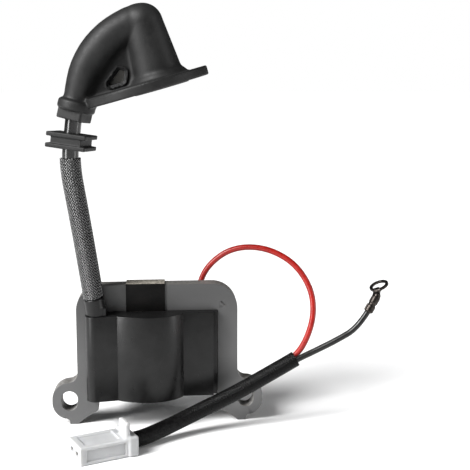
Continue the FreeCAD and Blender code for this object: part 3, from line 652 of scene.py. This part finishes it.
LEAD_ROUTE = [
    (-0.01874, -0.0064, 0.0368),
    (-0.02095, -0.0064, 0.0528),
    (-0.02360, -0.0064, 0.0698),
    (-0.02590, -0.0064, 0.0838),
    (-0.02470, -0.0064, 0.0932),
    (-0.02358, -0.0064, 0.1026),
]
SLEEVE_ROUTE = [
    (-0.00864, -0.02487, 0.00275),
    (-0.00490, -0.02300, 0.00275),
    (0.00303, -0.01715, 0.00390),
    (0.01091, -0.01330, 0.00634),
    (0.02322, -0.01080, 0.01131),
    (0.03338, -0.00900, 0.01626),
    (0.04319, -0.00760, 0.02137),
]
RED_ROUTE = [
    (0.01250, 0.00650, 0.03600),
    (0.01340, 0.00700, 0.04265),
    (0.01684, 0.00740, 0.04932),
    (0.02444, 0.00660, 0.05471),
    (0.03434, 0.00440, 0.05518),
    (0.04335, 0.00100, 0.05106),
    (0.04862, -0.00260, 0.04358),
    (0.04948, -0.00560, 0.03561),
    (0.04690, -0.00760, 0.02760),
    (0.04305, -0.00661, 0.02137),
    (0.03322, -0.00801, 0.01626),
    (0.02303, -0.00982, 0.01131),
    (0.01061, -0.01235, 0.00634),
    (0.00251, -0.01630, 0.00390),
    (-0.00545, -0.02217, 0.00275),
    (-0.00909, -0.02398, 0.00275),
    (-0.01448, -0.02505, 0.00275),
]
BLACK_ROUTE = [
    (-0.01269, -0.02907, 0.00275),
    (-0.00819, -0.02576, 0.00275),
    (-0.00435, -0.02383, 0.00275),
    (0.00355, -0.01800, 0.00390),
    (0.01121, -0.01425, 0.00634),
    (0.02341, -0.01178, 0.01131),
    (0.03354, -0.00999, 0.01626),
    (0.04333, -0.00859, 0.02137),
    (0.04890, -0.00820, 0.02379),
    (0.05580, -0.00840, 0.02718),
    (0.06329, -0.00800, 0.03134),
    (0.06724, -0.00720, 0.03795),
]
LEAD_DIAMETER = 0.005
WIRE_DIAMETER = 0.0019
SLEEVE_DIAMETER = 0.0049


def nurbs(name, route, diameter=0.0):
    curve = bpy.data.curves.new(name, "CURVE")
    curve.dimensions = "3D"
    curve.resolution_u = 16
    spline = curve.splines.new("NURBS")
    spline.points.add(len(route) - 1)
    for point, place in zip(spline.points, route):
        point.co = (*place, 1)
    spline.order_u = 3
    spline.use_endpoint_u = True
    curve.bevel_depth = diameter / 2
    curve.bevel_resolution = 8
    curve.use_fill_caps = diameter > 0
    return curve


def distances_along(line):
    """How far along a line of points each of them is."""
    return np.concatenate([[0], np.cumsum(np.linalg.norm(np.diff(line, axis=0), axis=1))])


def centreline(route, spacing):
    """Evenly spaced points on a route's NURBS line, spacing in metres, as an array."""
    guide = link(bpy.data.objects.new("guide", nurbs("guide", route)))
    mesh = bpy.data.meshes.new_from_object(guide)
    line = np.array([vertex.co for vertex in mesh.vertices])
    bpy.data.objects.remove(guide)
    bpy.data.meshes.remove(mesh)
    gone = distances_along(line)
    places = np.linspace(0, gone[-1], max(2, round(gone[-1] / spacing) + 1))
    return np.stack([np.interp(places, gone, line[:, i]) for i in range(3)], axis=1)


def frames_along(line):
    """Two unit vectors across a line of points at each of them, without twist."""
    along = np.gradient(line, axis=0)
    along /= np.linalg.norm(along, axis=1)[:, None]
    side = np.cross(along[0], (0, 1, 0))
    sides = []
    for way in along:
        side = side - way * np.dot(side, way)
        side = side / np.linalg.norm(side)
        sides.append(side)
    sides = np.array(sides)
    return sides, np.cross(along, sides)


def strip_faces(rings, around, first):
    """Quads between neighbouring rings of points."""
    return [
        (
            first + r * around + k,
            first + r * around + (k + 1) % around,
            first + (r + 1) * around + (k + 1) % around,
            first + (r + 1) * around + k,
        )
        for r in range(rings - 1)
        for k in range(around)
    ]


def hose(name, line, outer, inner):
    """An open-ended tube with a wall, as one closed mesh, along a line of points."""
    around = 48
    sides, ups = frames_along(line)
    angles = np.linspace(0, 2 * math.pi, around, endpoint=False)[None, :, None]
    circle = sides[:, None] * np.cos(angles) + ups[:, None] * np.sin(angles)
    points = np.concatenate([
        (line[:, None] + circle * radius).reshape(-1, 3) for radius in (outer / 2, inner / 2)
    ])
    count = len(line)
    half = count * around
    faces = strip_faces(count, around, 0)
    faces += [face[::-1] for face in strip_faces(count, around, half)]
    for k in range(around):
        n = (k + 1) % around
        last = (count - 1) * around
        faces.append((k, half + k, half + n, n))
        faces.append((last + k, last + n, half + last + n, half + last + k))
    mesh = bpy.data.meshes.new(name)
    mesh.from_pydata(points.tolist(), [], faces)
    return mesh


def braid(name, line, diameter, strands, width, thickness, weave, seed):
    """Flat yarns wound both ways round a line, over and under each other."""
    rng = random.Random(seed)
    sides, ups = frames_along(line)
    gone = distances_along(line)
    lay = math.pi * diameter
    crossings = 2 * strands * gone / lay
    section = np.linspace(0, 2 * math.pi, 8, endpoint=False)
    points, faces = [], []
    for way, number in itertools.product((1, -1), range(strands)):
        drift = rng.uniform(-0.02, 0.02)
        turn = 2 * math.pi * ((number + drift) / strands + way * gone / lay)
        wave = way * np.cos(math.pi * (2 * number + way * crossings))
        radius = diameter / 2 - thickness / 2 + weave * (wave - 1)
        outward = sides * np.cos(turn)[:, None] + ups * np.sin(turn)[:, None]
        path = line + outward * radius[:, None]
        heading = np.gradient(path, axis=0)
        heading /= np.linalg.norm(heading, axis=1)[:, None]
        across = np.cross(outward, heading)
        wide = width * rng.uniform(0.92, 1.06)
        rings = [
            path + outward * (math.sin(a) * thickness / 2) + across * (math.cos(a) * wide / 2)
            for a in section
        ]
        first = sum(len(p) for p in points)
        points.append(np.stack(rings, axis=1).reshape(-1, 3))
        faces += [face[::-1] for face in strip_faces(len(line), len(section), first)]
        last = first + (len(line) - 1) * len(section)
        faces.append([first + k for k in range(len(section))])
        faces.append([last + k for k in reversed(range(len(section)))])
    mesh = bpy.data.meshes.new(name)
    mesh.from_pydata(np.concatenate(points).tolist(), [], faces)
    bm = bmesh.new()
    bm.from_mesh(mesh)
    bmesh.ops.recalc_face_normals(bm, faces=bm.faces)
    bm.to_mesh(mesh)
    bm.free()
    return mesh


def part_of(line, start, end):
    """The stretch of a line of points between two distances along it."""
    gone = distances_along(line)
    return line[(gone >= start) & (gone <= end)]


# ---- the cords and what is on them ----

BRAID_START = 0.00525
BRAID_LENGTH = 0.0436
BRAID_DIAMETER = 0.0064
BRAID_PITCH = 0.00012
SLEEVE_PITCH = 0.00016
LINER_STRIDE = 4


def make_lead():
    """The high-tension lead, and its braided sleeve of yarn over a dark tube, which stands in for the shade in the
    braid's gaps.
    """
    lead = piece(
        "ht_lead", nurbs("ht_lead", LEAD_ROUTE, LEAD_DIAMETER), "coil", "lead_jacket",
        ["lead_insulation"],
    )
    line = part_of(centreline(LEAD_ROUTE, BRAID_PITCH), BRAID_START, BRAID_START + BRAID_LENGTH)
    # Painted shade: a dark tube under the yarns so the gaps between them read black.
    lining = hose("braid_gap_shade", line[::LINER_STRIDE], outer=0.0057, inner=0.0051)
    gap_shade = piece("braid_gap_shade", lining, "coil", "braid")
    woven = braid(
        "braid_yarn", line, BRAID_DIAMETER, strands=22, width=0.00060, thickness=0.00040,
        weave=0.00013, seed=SEED,
    )
    yarn = piece("braid_yarn", woven, "coil", "braid", ["braided_sleeve"], smooth_angle=80)
    return lead, [gap_shade, yarn]


def make_wires():
    """The red and black wires, and the sleeve over both: a tube with fine yarns round it."""
    red = piece(
        "red_wire", nurbs("red_wire", RED_ROUTE, WIRE_DIAMETER), "coil", "red_wire",
        ["red_primary_wire"],
    )
    black = piece(
        "black_wire", nurbs("black_wire", BLACK_ROUTE, WIRE_DIAMETER), "coil", "black_wire",
        ["ground_wire"],
    )
    line = centreline(SLEEVE_ROUTE, SLEEVE_PITCH)
    lining = hose("sleeve_tube", line[::LINER_STRIDE], outer=0.0045, inner=0.0041)
    tube = piece("sleeve_tube", lining, "coil", "sleeve", ["wire_sleeve"])
    woven = braid(
        "sleeve_yarn", line, SLEEVE_DIAMETER, strands=20, width=0.00062, thickness=0.00022,
        weave=0.00005, seed=SEED + 1,
    )
    yarn = piece("sleeve_yarn", woven, "coil", "sleeve", smooth_angle=80)
    return red, black, tube, yarn, line


# ---- the boot, in millimetres ----

BOOT_START = 96.4
FLANGE_THICKNESS = 2.8
FLANGE_RADIUS = 18.8
FLANGE_SHIFT = 4.1
SOCKET_HEIGHT = 19.7
SOCKET_FOOT, SOCKET_TOP = 7.9, 6.0
COLLAR_LEAN = math.radians(7)
BEAD_RADIUS = 5.7
LIP_TURN = -0.36
LIP_HALF = 4.0
RING_HALF = 1.6
WEB_HALF = 2.2
RIM_HALF = 2.75
SKIN_HALF = 0.3
CHAMBER_RADIUS = 4.3
CHAMBER_HALF = 4.2
BOOT_CELL = 0.36
LEAD_FIT = 2.52
ARM_ROUTE = [(-22.9, 103.6), (-20.9, 110.4), (-16.4, 117.4), (-10.6, 122.9), (-5.0, 125.6)]
ARM_RADII = (3.9, 4.9, 5.4, 5.3, 5.1)
WEB_OUTLINE = [(-22.5, 101.8), (-20.0, 111.0), (-13.0, 119.5), (-4.0, 125.2), (1.0, 108.6)]
WINDOW = [(-13.0, 107.2), (-10.2, 111.1), (-9.1, 110.8), (-9.5, 108.2)]


def boot_mesh():
    plug = MOUNTS["spark_plug_bore"]
    lean = -Vector(plug["axis"])
    depth = plug["dims"]["length_mm"]
    bore = plug["dims"]["r_mm"]
    base = in_mm(plug["pos_m"]) - lean * (depth / 2)
    socket_axes = axes_along(lean)
    gauge = FLANGE_THICKNESS
    disc_centre = base + lean * (gauge / 2) - Vector((lean.z, 0, -lean.x)) * FLANGE_SHIFT

    hinge = JOINTS["boot_twist"]
    way = Vector(hinge["axis"]).normalized()
    knee = in_mm(hinge["pos_m"])
    mouth = knee + way * ((BOOT_START - knee.z) / way.z)
    lead_y = mouth.y
    arm_guide = [(x * MM, lead_y * MM, z * MM) for x, z in ARM_ROUTE]
    arm_line = [Vector(p) / MM for p in centreline(arm_guide, 0.0022)]
    shares = np.linspace(0, len(ARM_RADII) - 1, len(arm_line))
    radii = np.interp(shares, range(len(ARM_RADII)), ARM_RADII)
    collar_way = Matrix.Rotation(COLLAR_LEAN, 3, "Y") @ way

    def distance(x, y, z):
        flange = disc(x, y, z, disc_centre, socket_axes, FLANGE_RADIUS, gauge / 2, 0.45)
        socket = rod(x, y, z, base, base + lean * SOCKET_HEIGHT, SOCKET_FOOT, SOCKET_TOP)
        foot = disc(x, y, z, base + lean * gauge, socket_axes, 8.5, 1.3, 1.0)
        socket = joined(socket, foot, 1.6)
        socket = np.maximum(socket, -local(x, y, z, base, socket_axes)[2])
        arm = rod(x, y, z, mouth + way * 5.3, arm_line[0], radii[0])
        for start, end, first, last in zip(arm_line, arm_line[1:], radii, radii[1:]):
            arm = joined(arm, rod(x, y, z, start, end, first, last), 0.6)
        web = slab(outline(x, z, WEB_OUTLINE), y - lead_y, WEB_HALF, 0.5)
        body = joined(joined(socket, arm, 0.6), web, 1.3)
        body = joined(body, flange, 1.4)
        bead_centre = mouth + collar_way * 4.5
        bead = disc(x, y, z, bead_centre, axes_along(collar_way), BEAD_RADIUS, RING_HALF, 1.0)
        lip_axes = axes_along(collar_way, LIP_TURN)
        lip_half = (LIP_HALF, LIP_HALF, RING_HALF)
        lip = block(x, y, z, mouth + collar_way * 1.7, lip_axes, lip_half, 0.4)
        body = joined(body, bead, 1.0)
        body = joined(body, lip, 0.25)
        hole = outline(x, z, WINDOW) - 0.3
        rim = slab(np.abs(hole - 1.0) - 0.22, y - lead_y, RIM_HALF, 0.2)
        body = joined(body, rim, 0.15)
        body = cut(body, slab(hole, y - lead_y, 9.0), 0.3)
        hole_centre = base + lean * (depth / 2 - 1)
        plug_hole = disc(x, y, z, hole_centre, socket_axes, bore, depth / 2 + 1, 0.2)
        chamber_centre = base + lean * (depth + 3.4)
        chamber = disc(x, y, z, chamber_centre, socket_axes, CHAMBER_RADIUS, CHAMBER_HALF, 0.2)
        lead_hole = disc(x, y, z, mouth + way * 2.9, axes_along(way), LEAD_FIT, 3.9, 0.1)
        body = cut(body, np.minimum(plug_hole, chamber), 0.3)
        return cut(body, lead_hole, 0.3)

    low, high = box_mm("plug_boot")
    return shape("plug_boot_skin", distance, low - MARGIN, high + MARGIN, BOOT_CELL)


def make_boot():
    """The moulding, and a thin light grey skin that fills its window."""
    low, high = box_mm("plug_boot")
    middle = (low.y + high.y) / 2 * MM
    bm = bmesh.new()
    rings = [
        [
            bm.verts.new((x * MM, middle + side * SKIN_HALF * MM, z * MM))
            for x, z in grown(WINDOW, 0.9)
        ]
        for side in (-1, 1)
    ]
    bm.faces.new(rings[0])
    bm.faces.new(rings[1][::-1])
    for k in range(len(WINDOW)):
        n = (k + 1) % len(WINDOW)
        bm.faces.new((rings[0][n], rings[0][k], rings[1][k], rings[1][n]))
    bmesh.ops.recalc_face_normals(bm, faces=bm.faces)
    skin = piece(
        "window_skin", from_bmesh("window_skin", bm), "boot", "rubber", finish="window_grey_rubber"
    )
    moulding = piece(
        "boot_moulding", boot_mesh(), "boot", "rubber", ["plug_boot"], smooth_angle=60
    )
    return moulding, skin


def grown(corners, by):
    """A polygon's corners moved out from its middle."""
    middle = sum((Vector(corner) for corner in corners), Vector((0, 0))) / len(corners)
    return [Vector(corner) + (Vector(corner) - middle).normalized() * by for corner in corners]


# ---- the grommet ----


GROMMET_TURN = math.radians(-17)
GROMMET_BORE = 2.64


def make_grommet():
    """Two rectangular flanges with a waist between them, round the lead."""
    low, high = box_mm("shroud_grommet")
    centre = (low + high) / 2
    slide = Vector(JOINTS["grommet_slide"]["axis"]).normalized()
    axes = axes_along(slide, GROMMET_TURN)
    flange, gap = 1.3, 2.1
    flange_half = (6.3, 5.0, flange / 2)
    waist_half = (4.9, 4.5, 2.0)

    def distance(x, y, z):
        rise = (gap + flange) / 2
        lower = block(x, y, z, centre - slide * rise, axes, flange_half, 0.3)
        upper = block(x, y, z, centre + slide * rise, axes, flange_half, 0.3)
        waist = block(x, y, z, centre, axes, waist_half, 0.3)
        body = joined(joined(lower, waist, 0.4), upper, 0.4)
        return cut(body, disc(x, y, z, centre, axes, GROMMET_BORE, 6.0, 0.0), 0.3)

    mesh = shape("grommet", distance, low - MARGIN, high + MARGIN, 0.22)
    return piece("grommet_moulding", mesh, "grommet", "rubber", ["shroud_grommet"], smooth_angle=60)


# ---- the core ----

SHEETS = 11
BURR = 0.07 * MM
SHEET_DRIFT = 0.03 * MM
SHEET_LIFT = 0.04 * MM
INTERLOCK = (20.8, 38.6)
INTERLOCK_SIZE = (2.0 * MM, 0.5 * MM)
INTERLOCK_LEAN = math.radians(42)


def sheet_outline():
    """The core's front face from the CAD model, as flat faces with open slots."""
    bm = bmesh.new()
    bm.from_mesh(frame["nodes"]["core_laminations"].data)
    bmesh.ops.remove_doubles(bm, verts=bm.verts, dist=WELD)
    low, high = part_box("core_laminations")
    away = [face for face in bm.faces if face.calc_center_median().y > low.y + 0.1 * MM]
    bmesh.ops.delete(bm, geom=away, context="FACES")
    return bm, low, high


def dimpled(mesh, face, depth):
    """The sheet with a sunk interlock near each upper corner; face is its outer side's y."""
    cutter = bmesh.new()
    long, tall = INTERLOCK_SIZE
    for side in (-1, 1):
        made = bmesh.ops.create_cube(cutter, size=1.0)["verts"]
        bmesh.ops.scale(cutter, vec=(long, 1.5 * depth, tall), verts=made)
        lean = Matrix.Rotation(side * INTERLOCK_LEAN, 3, "Y")
        bmesh.ops.rotate(cutter, cent=(0, 0, 0), matrix=lean, verts=made)
        place = (side * INTERLOCK[0] * MM, face, INTERLOCK[1] * MM)
        bmesh.ops.translate(cutter, vec=place, verts=made)
    tool = link(bpy.data.objects.new("interlock", from_bmesh("interlock", cutter)))
    sheet = link(bpy.data.objects.new("sheet", mesh))
    hollow = sheet.modifiers.new("hollow", "BOOLEAN")
    hollow.operation = "DIFFERENCE"
    hollow.object = tool
    bpy.context.view_layer.update()
    solved = sheet.evaluated_get(bpy.context.evaluated_depsgraph_get())
    cut_mesh = bpy.data.meshes.new_from_object(solved)
    cut_mesh.name = mesh.name
    bpy.data.objects.remove(sheet)
    bpy.data.objects.remove(tool)
    return cut_mesh


def make_core():
    """A stack of stamped sheets: each one a little out of line, with burred edges."""
    rng = random.Random(SEED + 2)
    front, low, high = sheet_outline()
    pitch = (high.y - low.y) / SHEETS
    made = []
    for number in range(SHEETS):
        bm = front.copy()
        grown = bmesh.ops.extrude_face_region(bm, geom=list(bm.faces))
        lifted = [item for item in grown["geom"] if isinstance(item, bmesh.types.BMVert)]
        bmesh.ops.translate(bm, verts=lifted, vec=(0, pitch, 0))
        bmesh.ops.recalc_face_normals(bm, faces=bm.faces)
        rims = [
            edge for edge in bm.edges
            if len(edge.link_faces) == 2 and edge.calc_face_angle(0) > math.radians(60)
            and abs(edge.verts[0].co.y - edge.verts[1].co.y) < 0.01 * MM
        ]
        bmesh.ops.bevel(
            bm, geom=rims, offset=BURR, segments=1, affect="EDGES", clamp_overlap=True
        )
        shift = (rng.uniform(-SHEET_DRIFT, SHEET_DRIFT), number * pitch, rng.uniform(0.0, SHEET_LIFT))
        bmesh.ops.translate(bm, verts=bm.verts, vec=shift)
        made.append(from_bmesh(f"lamination_{number + 1:02d}", bm))
    front.free()
    made[0] = dimpled(made[0], low.y, pitch)
    made[-1] = dimpled(made[-1], high.y, pitch)
    pieces = [piece(mesh.name, mesh, "coil", "core_steel", smooth_angle=25) for mesh in made]
    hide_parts("core_laminations")
    return pieces


# ---- the housing ----


def make_housing():
    """The case and the strap, with their CAD shapes' edges softened."""
    piece("case_moulding", softened("housing_shell", 0.35), "coil", "case", ["housing_shell"])
    piece("strap_band", softened("yoke_strap", 0.12, 2), "coil", "strap", ["yoke_strap"])


OUTLET_RADIUS, OUTLET_HALF = 3.1, 2.8
OUTLET_BORE = 2.53
STEP_HALF = (1.2, 2.1, 1.6)
STEP_ASIDE, STEP_RISE = 1.9, 1.0


def make_outlet():
    """The round outlet that the lead comes out of, with the step moulded beside it."""
    low, high = box_mm("lead_ferrule")
    foot = in_mm(LEAD_ROUTE[0])
    way = (in_mm(LEAD_ROUTE[1]) - foot).normalized()
    case_top = box_mm("housing_shell")[1].z
    upright = axes_along((0, 0, 1))
    step_centre = (foot.x + STEP_ASIDE, foot.y, case_top + STEP_RISE)

    def distance(x, y, z):
        collar = disc(
            x, y, z, foot + way * 2.2, axes_along(way), OUTLET_RADIUS, OUTLET_HALF, 0.35
        )
        step = block(x, y, z, step_centre, upright, STEP_HALF, 0.3)
        body = joined(collar, step, 0.5)
        body = cut(body, disc(x, y, z, foot + way * 4, axes_along(way), OUTLET_BORE, 6, 0), 0.2)
        return np.maximum(body, case_top - z)

    margin = Vector((1.5, 1, 1))
    mesh = shape("outlet", distance, low - margin, high + margin, 0.2)
    return piece("lead_outlet", mesh, "coil", "case", ["lead_ferrule"], smooth_angle=60)


RESIN_GRID = (60, 44)
RESIN_SUNK = 0.15 * MM
CREEP, CREEP_REACH = 0.45 * MM, 0.7 * MM
UNEVEN = 0.012 * MM


def make_resin():
    """The cast layer at the back: it creeps up the walls and is a little uneven."""
    low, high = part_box("potting_resin")
    across, tall = RESIN_GRID
    rng = random.Random(SEED + 3)
    waves = [(rng.uniform(200, 700), rng.uniform(200, 700), rng.uniform(0, 6)) for _ in range(6)]
    bm = bmesh.new()
    back = []
    for row in range(tall + 1):
        for column in range(across + 1):
            x = low.x + (high.x - low.x) * column / across
            z = low.z + (high.z - low.z) * row / tall
            edge = min(x - low.x, high.x - x, z - low.z, high.z - z)
            creep = CREEP * math.exp(-edge / CREEP_REACH)
            uneven = UNEVEN * sum(math.sin(a * x + b * z + c) for a, b, c in waves)
            back.append(bm.verts.new((x, high.y - RESIN_SUNK + creep + uneven, z)))
    stride = across + 1
    for row in range(tall):
        for column in range(across):
            i = row * stride + column
            bm.faces.new([back[i], back[i + stride], back[i + stride + 1], back[i + 1]])
    rim = [edge for edge in bm.edges if edge.is_boundary]
    grown = bmesh.ops.extrude_edge_only(bm, edges=rim)
    for item in grown["geom"]:
        if isinstance(item, bmesh.types.BMVert):
            item.co.y = low.y
    bmesh.ops.contextual_create(bm, geom=[e for e in bm.edges if e.is_boundary])
    bmesh.ops.recalc_face_normals(bm, faces=bm.faces)
    return piece("resin_fill", from_bmesh("resin_fill", bm), "coil", "resin", ["potting_resin"])


# ---- the connector and the terminal ----


PLUG_LENGTH, PLUG_HALF, PLUG_HEIGHT = 17.8, 5.2, 5.5
FLANGE_PROUD, FLANGE_LONG = 0.7, 3.2
CONTACT_PITCH = 4.4
LATCH_HALF = (0.85, 2.9, 3.0)
TOP_PANEL = (5.2, 3.4, 0.75)
SIDE_PANEL = (6.0, 0.45, 1.75)
CAVITY = (6.6, 1.55, 1.65)
CAVITY_MOUTH = (1.4, 1.2, 0.75)


def make_connector():
    """A two-way nylon shell: sunk panels, a raised rear flange, a latch and two cavities."""
    mouth = MOUNTS["connector_mouth"]
    start = in_mm(mouth["pos_m"])
    along = -Vector(mouth["axis"]).normalized()
    side = Vector((0, 0, 1)).cross(along)
    axes = (along, side, Vector((0, 0, 1)))
    long, half, tall = PLUG_LENGTH, PLUG_HALF, PLUG_HEIGHT
    proud, collar = FLANGE_PROUD, FLANGE_LONG

    def at(a, b, c):
        return start + along * a + side * b + Vector((0, 0, c - tall / 2))

    def distance(x, y, z):
        def brick(a, b, c, size, rounding):
            return block(x, y, z, at(a, b, c), axes, size, rounding)

        body = brick(long / 2, 0, tall / 2, (long / 2, half, tall / 2), 0.45)
        flange = brick(
            long - collar / 2, 0, (tall + proud) / 2,
            (collar / 2, half + proud, (tall + proud) / 2), 0.8,
        )
        latch = brick(long - collar, LATCH_HALF[1] - half, tall + 2.0, LATCH_HALF, 0.75)
        body = joined(joined(body, flange, 0.3), latch, 1.0)
        top = brick(7.4, 0.2, tall + 0.3, TOP_PANEL, 0.3)
        front = brick(8.0, -half, tall / 2, SIDE_PANEL, 0.3)
        rear = brick(8.0, half, tall / 2, SIDE_PANEL, 0.3)
        body = cut(body, np.minimum(np.minimum(top, front), rear), 0.2)
        for across in (-CONTACT_PITCH / 2, CONTACT_PITCH / 2):
            body = cut(body, brick(7.8, across, tall / 2, CAVITY, 0.25), 0.1)
            body = cut(body, brick(0.5, across, tall / 2, CAVITY_MOUTH, 0.2), 0.25)
        inlet = brick(long, 0, tall / 2, (collar + 1.6, half - 1.1, 2.5), 0.5)
        return cut(body, inlet, 0.2)

    low, high = box_mm("connector_housing")
    mesh = shape("connector", distance, low - MARGIN, high + MARGIN, 0.2)
    return piece("connector_shell", mesh, "coil", "nylon", ["connector_housing"], smooth_angle=60)


EYE_RADIUS, EYE_HALF = 3.1, 0.36
NECK_RADIUS, NECK_HALF = 1.25, 0.42
BARREL_LENGTH, TRAY_RADIUS, WIRE_FIT = 3.6, 1.2, 0.93
WINGS = ((0.0, 1.5, 1.15), (3.0, 1.42, 1.2))


def make_terminal():
    """A crimped ring terminal: eye, flat neck, and two pairs of folded wings."""
    eye = MOUNTS["ring_eye"]
    centre = in_mm(eye["pos_m"])
    normal = Vector(eye["axis"]).normalized()
    tip, before = in_mm(BLACK_ROUTE[-1]), in_mm(BLACK_ROUTE[-2])
    way = (tip - before).normalized()
    end = tip + way * BARREL_LENGTH
    toward = (end - centre) - normal * (end - centre).dot(normal)
    toward.normalize()
    flat = (toward, normal.cross(toward), normal)
    barrel_up = (normal - way * normal.dot(way)).normalized()
    barrel = (way, barrel_up.cross(way), barrel_up)

    def distance(x, y, z):
        plate = disc(x, y, z, centre, flat, EYE_RADIUS, EYE_HALF, 0.12)
        neck = rod(x, y, z, centre + toward * 3.0, end - way * 0.8, NECK_RADIUS)
        neck = np.maximum(neck, slab_between(x, y, z, centre + toward * 2.6, end - way * 1.2))
        body = joined(plate, neck, 0.5)
        for middle, radius, half in WINGS:
            place = tip + way * (middle - 0.9)
            wing = disc(x, y, z, place, axes_along(way), radius, half, 0.3)
            groove = rod(
                x, y, z, place + barrel[2] * radius - way * 2,
                place + barrel[2] * radius + way * 2, 0.32,
            )
            body = joined(body, cut(wing, groove, 0.2), 0.35)
        tray = rod(x, y, z, tip - way * 1.6, end, TRAY_RADIUS)
        body = joined(body, tray, 0.2)
        body = cut(body, rod(x, y, z, tip - way * 4, tip + way * 0.4, WIRE_FIT), 0.1)
        return cut(body, disc(x, y, z, centre, flat, eye["dims"]["r_mm"], 3.0, 0.0), 0.15)

    def slab_between(x, y, z, first, second):
        span = (second - first).normalized()
        upright = (normal - span * normal.dot(span)).normalized()
        return np.abs(local(x, y, z, first, (upright,))[0]) - NECK_HALF

    low, high = box_mm("ring_terminal")
    mesh = shape("terminal", distance, low - MARGIN, high + MARGIN, 0.13)
    return piece("crimped_eye", mesh, "coil", "terminal", ["ring_terminal"], smooth_angle=60)


# ---- the pieces inside ----

KEPT_NODES = {
    "primary_bobbin": "bobbin",
    "secondary_bobbin": "bobbin",
    "primary_winding": "copper",
    "secondary_winding": "copper",
    "circuit_board": "board",
    "power_transistor": "component",
    "trigger_diode": "component",
    "timing_resistors": "component",
    "storage_capacitor": "component_tan",
    "ht_output_pin": "brass",
    "lead_conductor": "copper",
    "plug_terminal_clip": "terminal",
    "connector_contacts": "brass",
}


def finish_kept_nodes():
    for node, slot in KEPT_NODES.items():
        mesh = frame["nodes"][node].data
        mesh.materials.clear()
        mesh.materials.append(SURFACES[slot].material)


# ---- assembly ----


def assemble():
    """Every piece on its body, the cords and what they carry, and the studio."""
    make_camera()
    lead, lead_cover = make_lead()
    red, black, sleeve, sleeve_yarn, sleeve_line = make_wires()
    grommet = make_grommet()
    boot, skin = make_boot()
    connector = make_connector()
    terminal = make_terminal()
    make_core()
    make_housing()
    outlet = make_outlet()
    make_resin()
    finish_kept_nodes()
    make_floor(floor_surface().material)
    make_lights()


assemble()
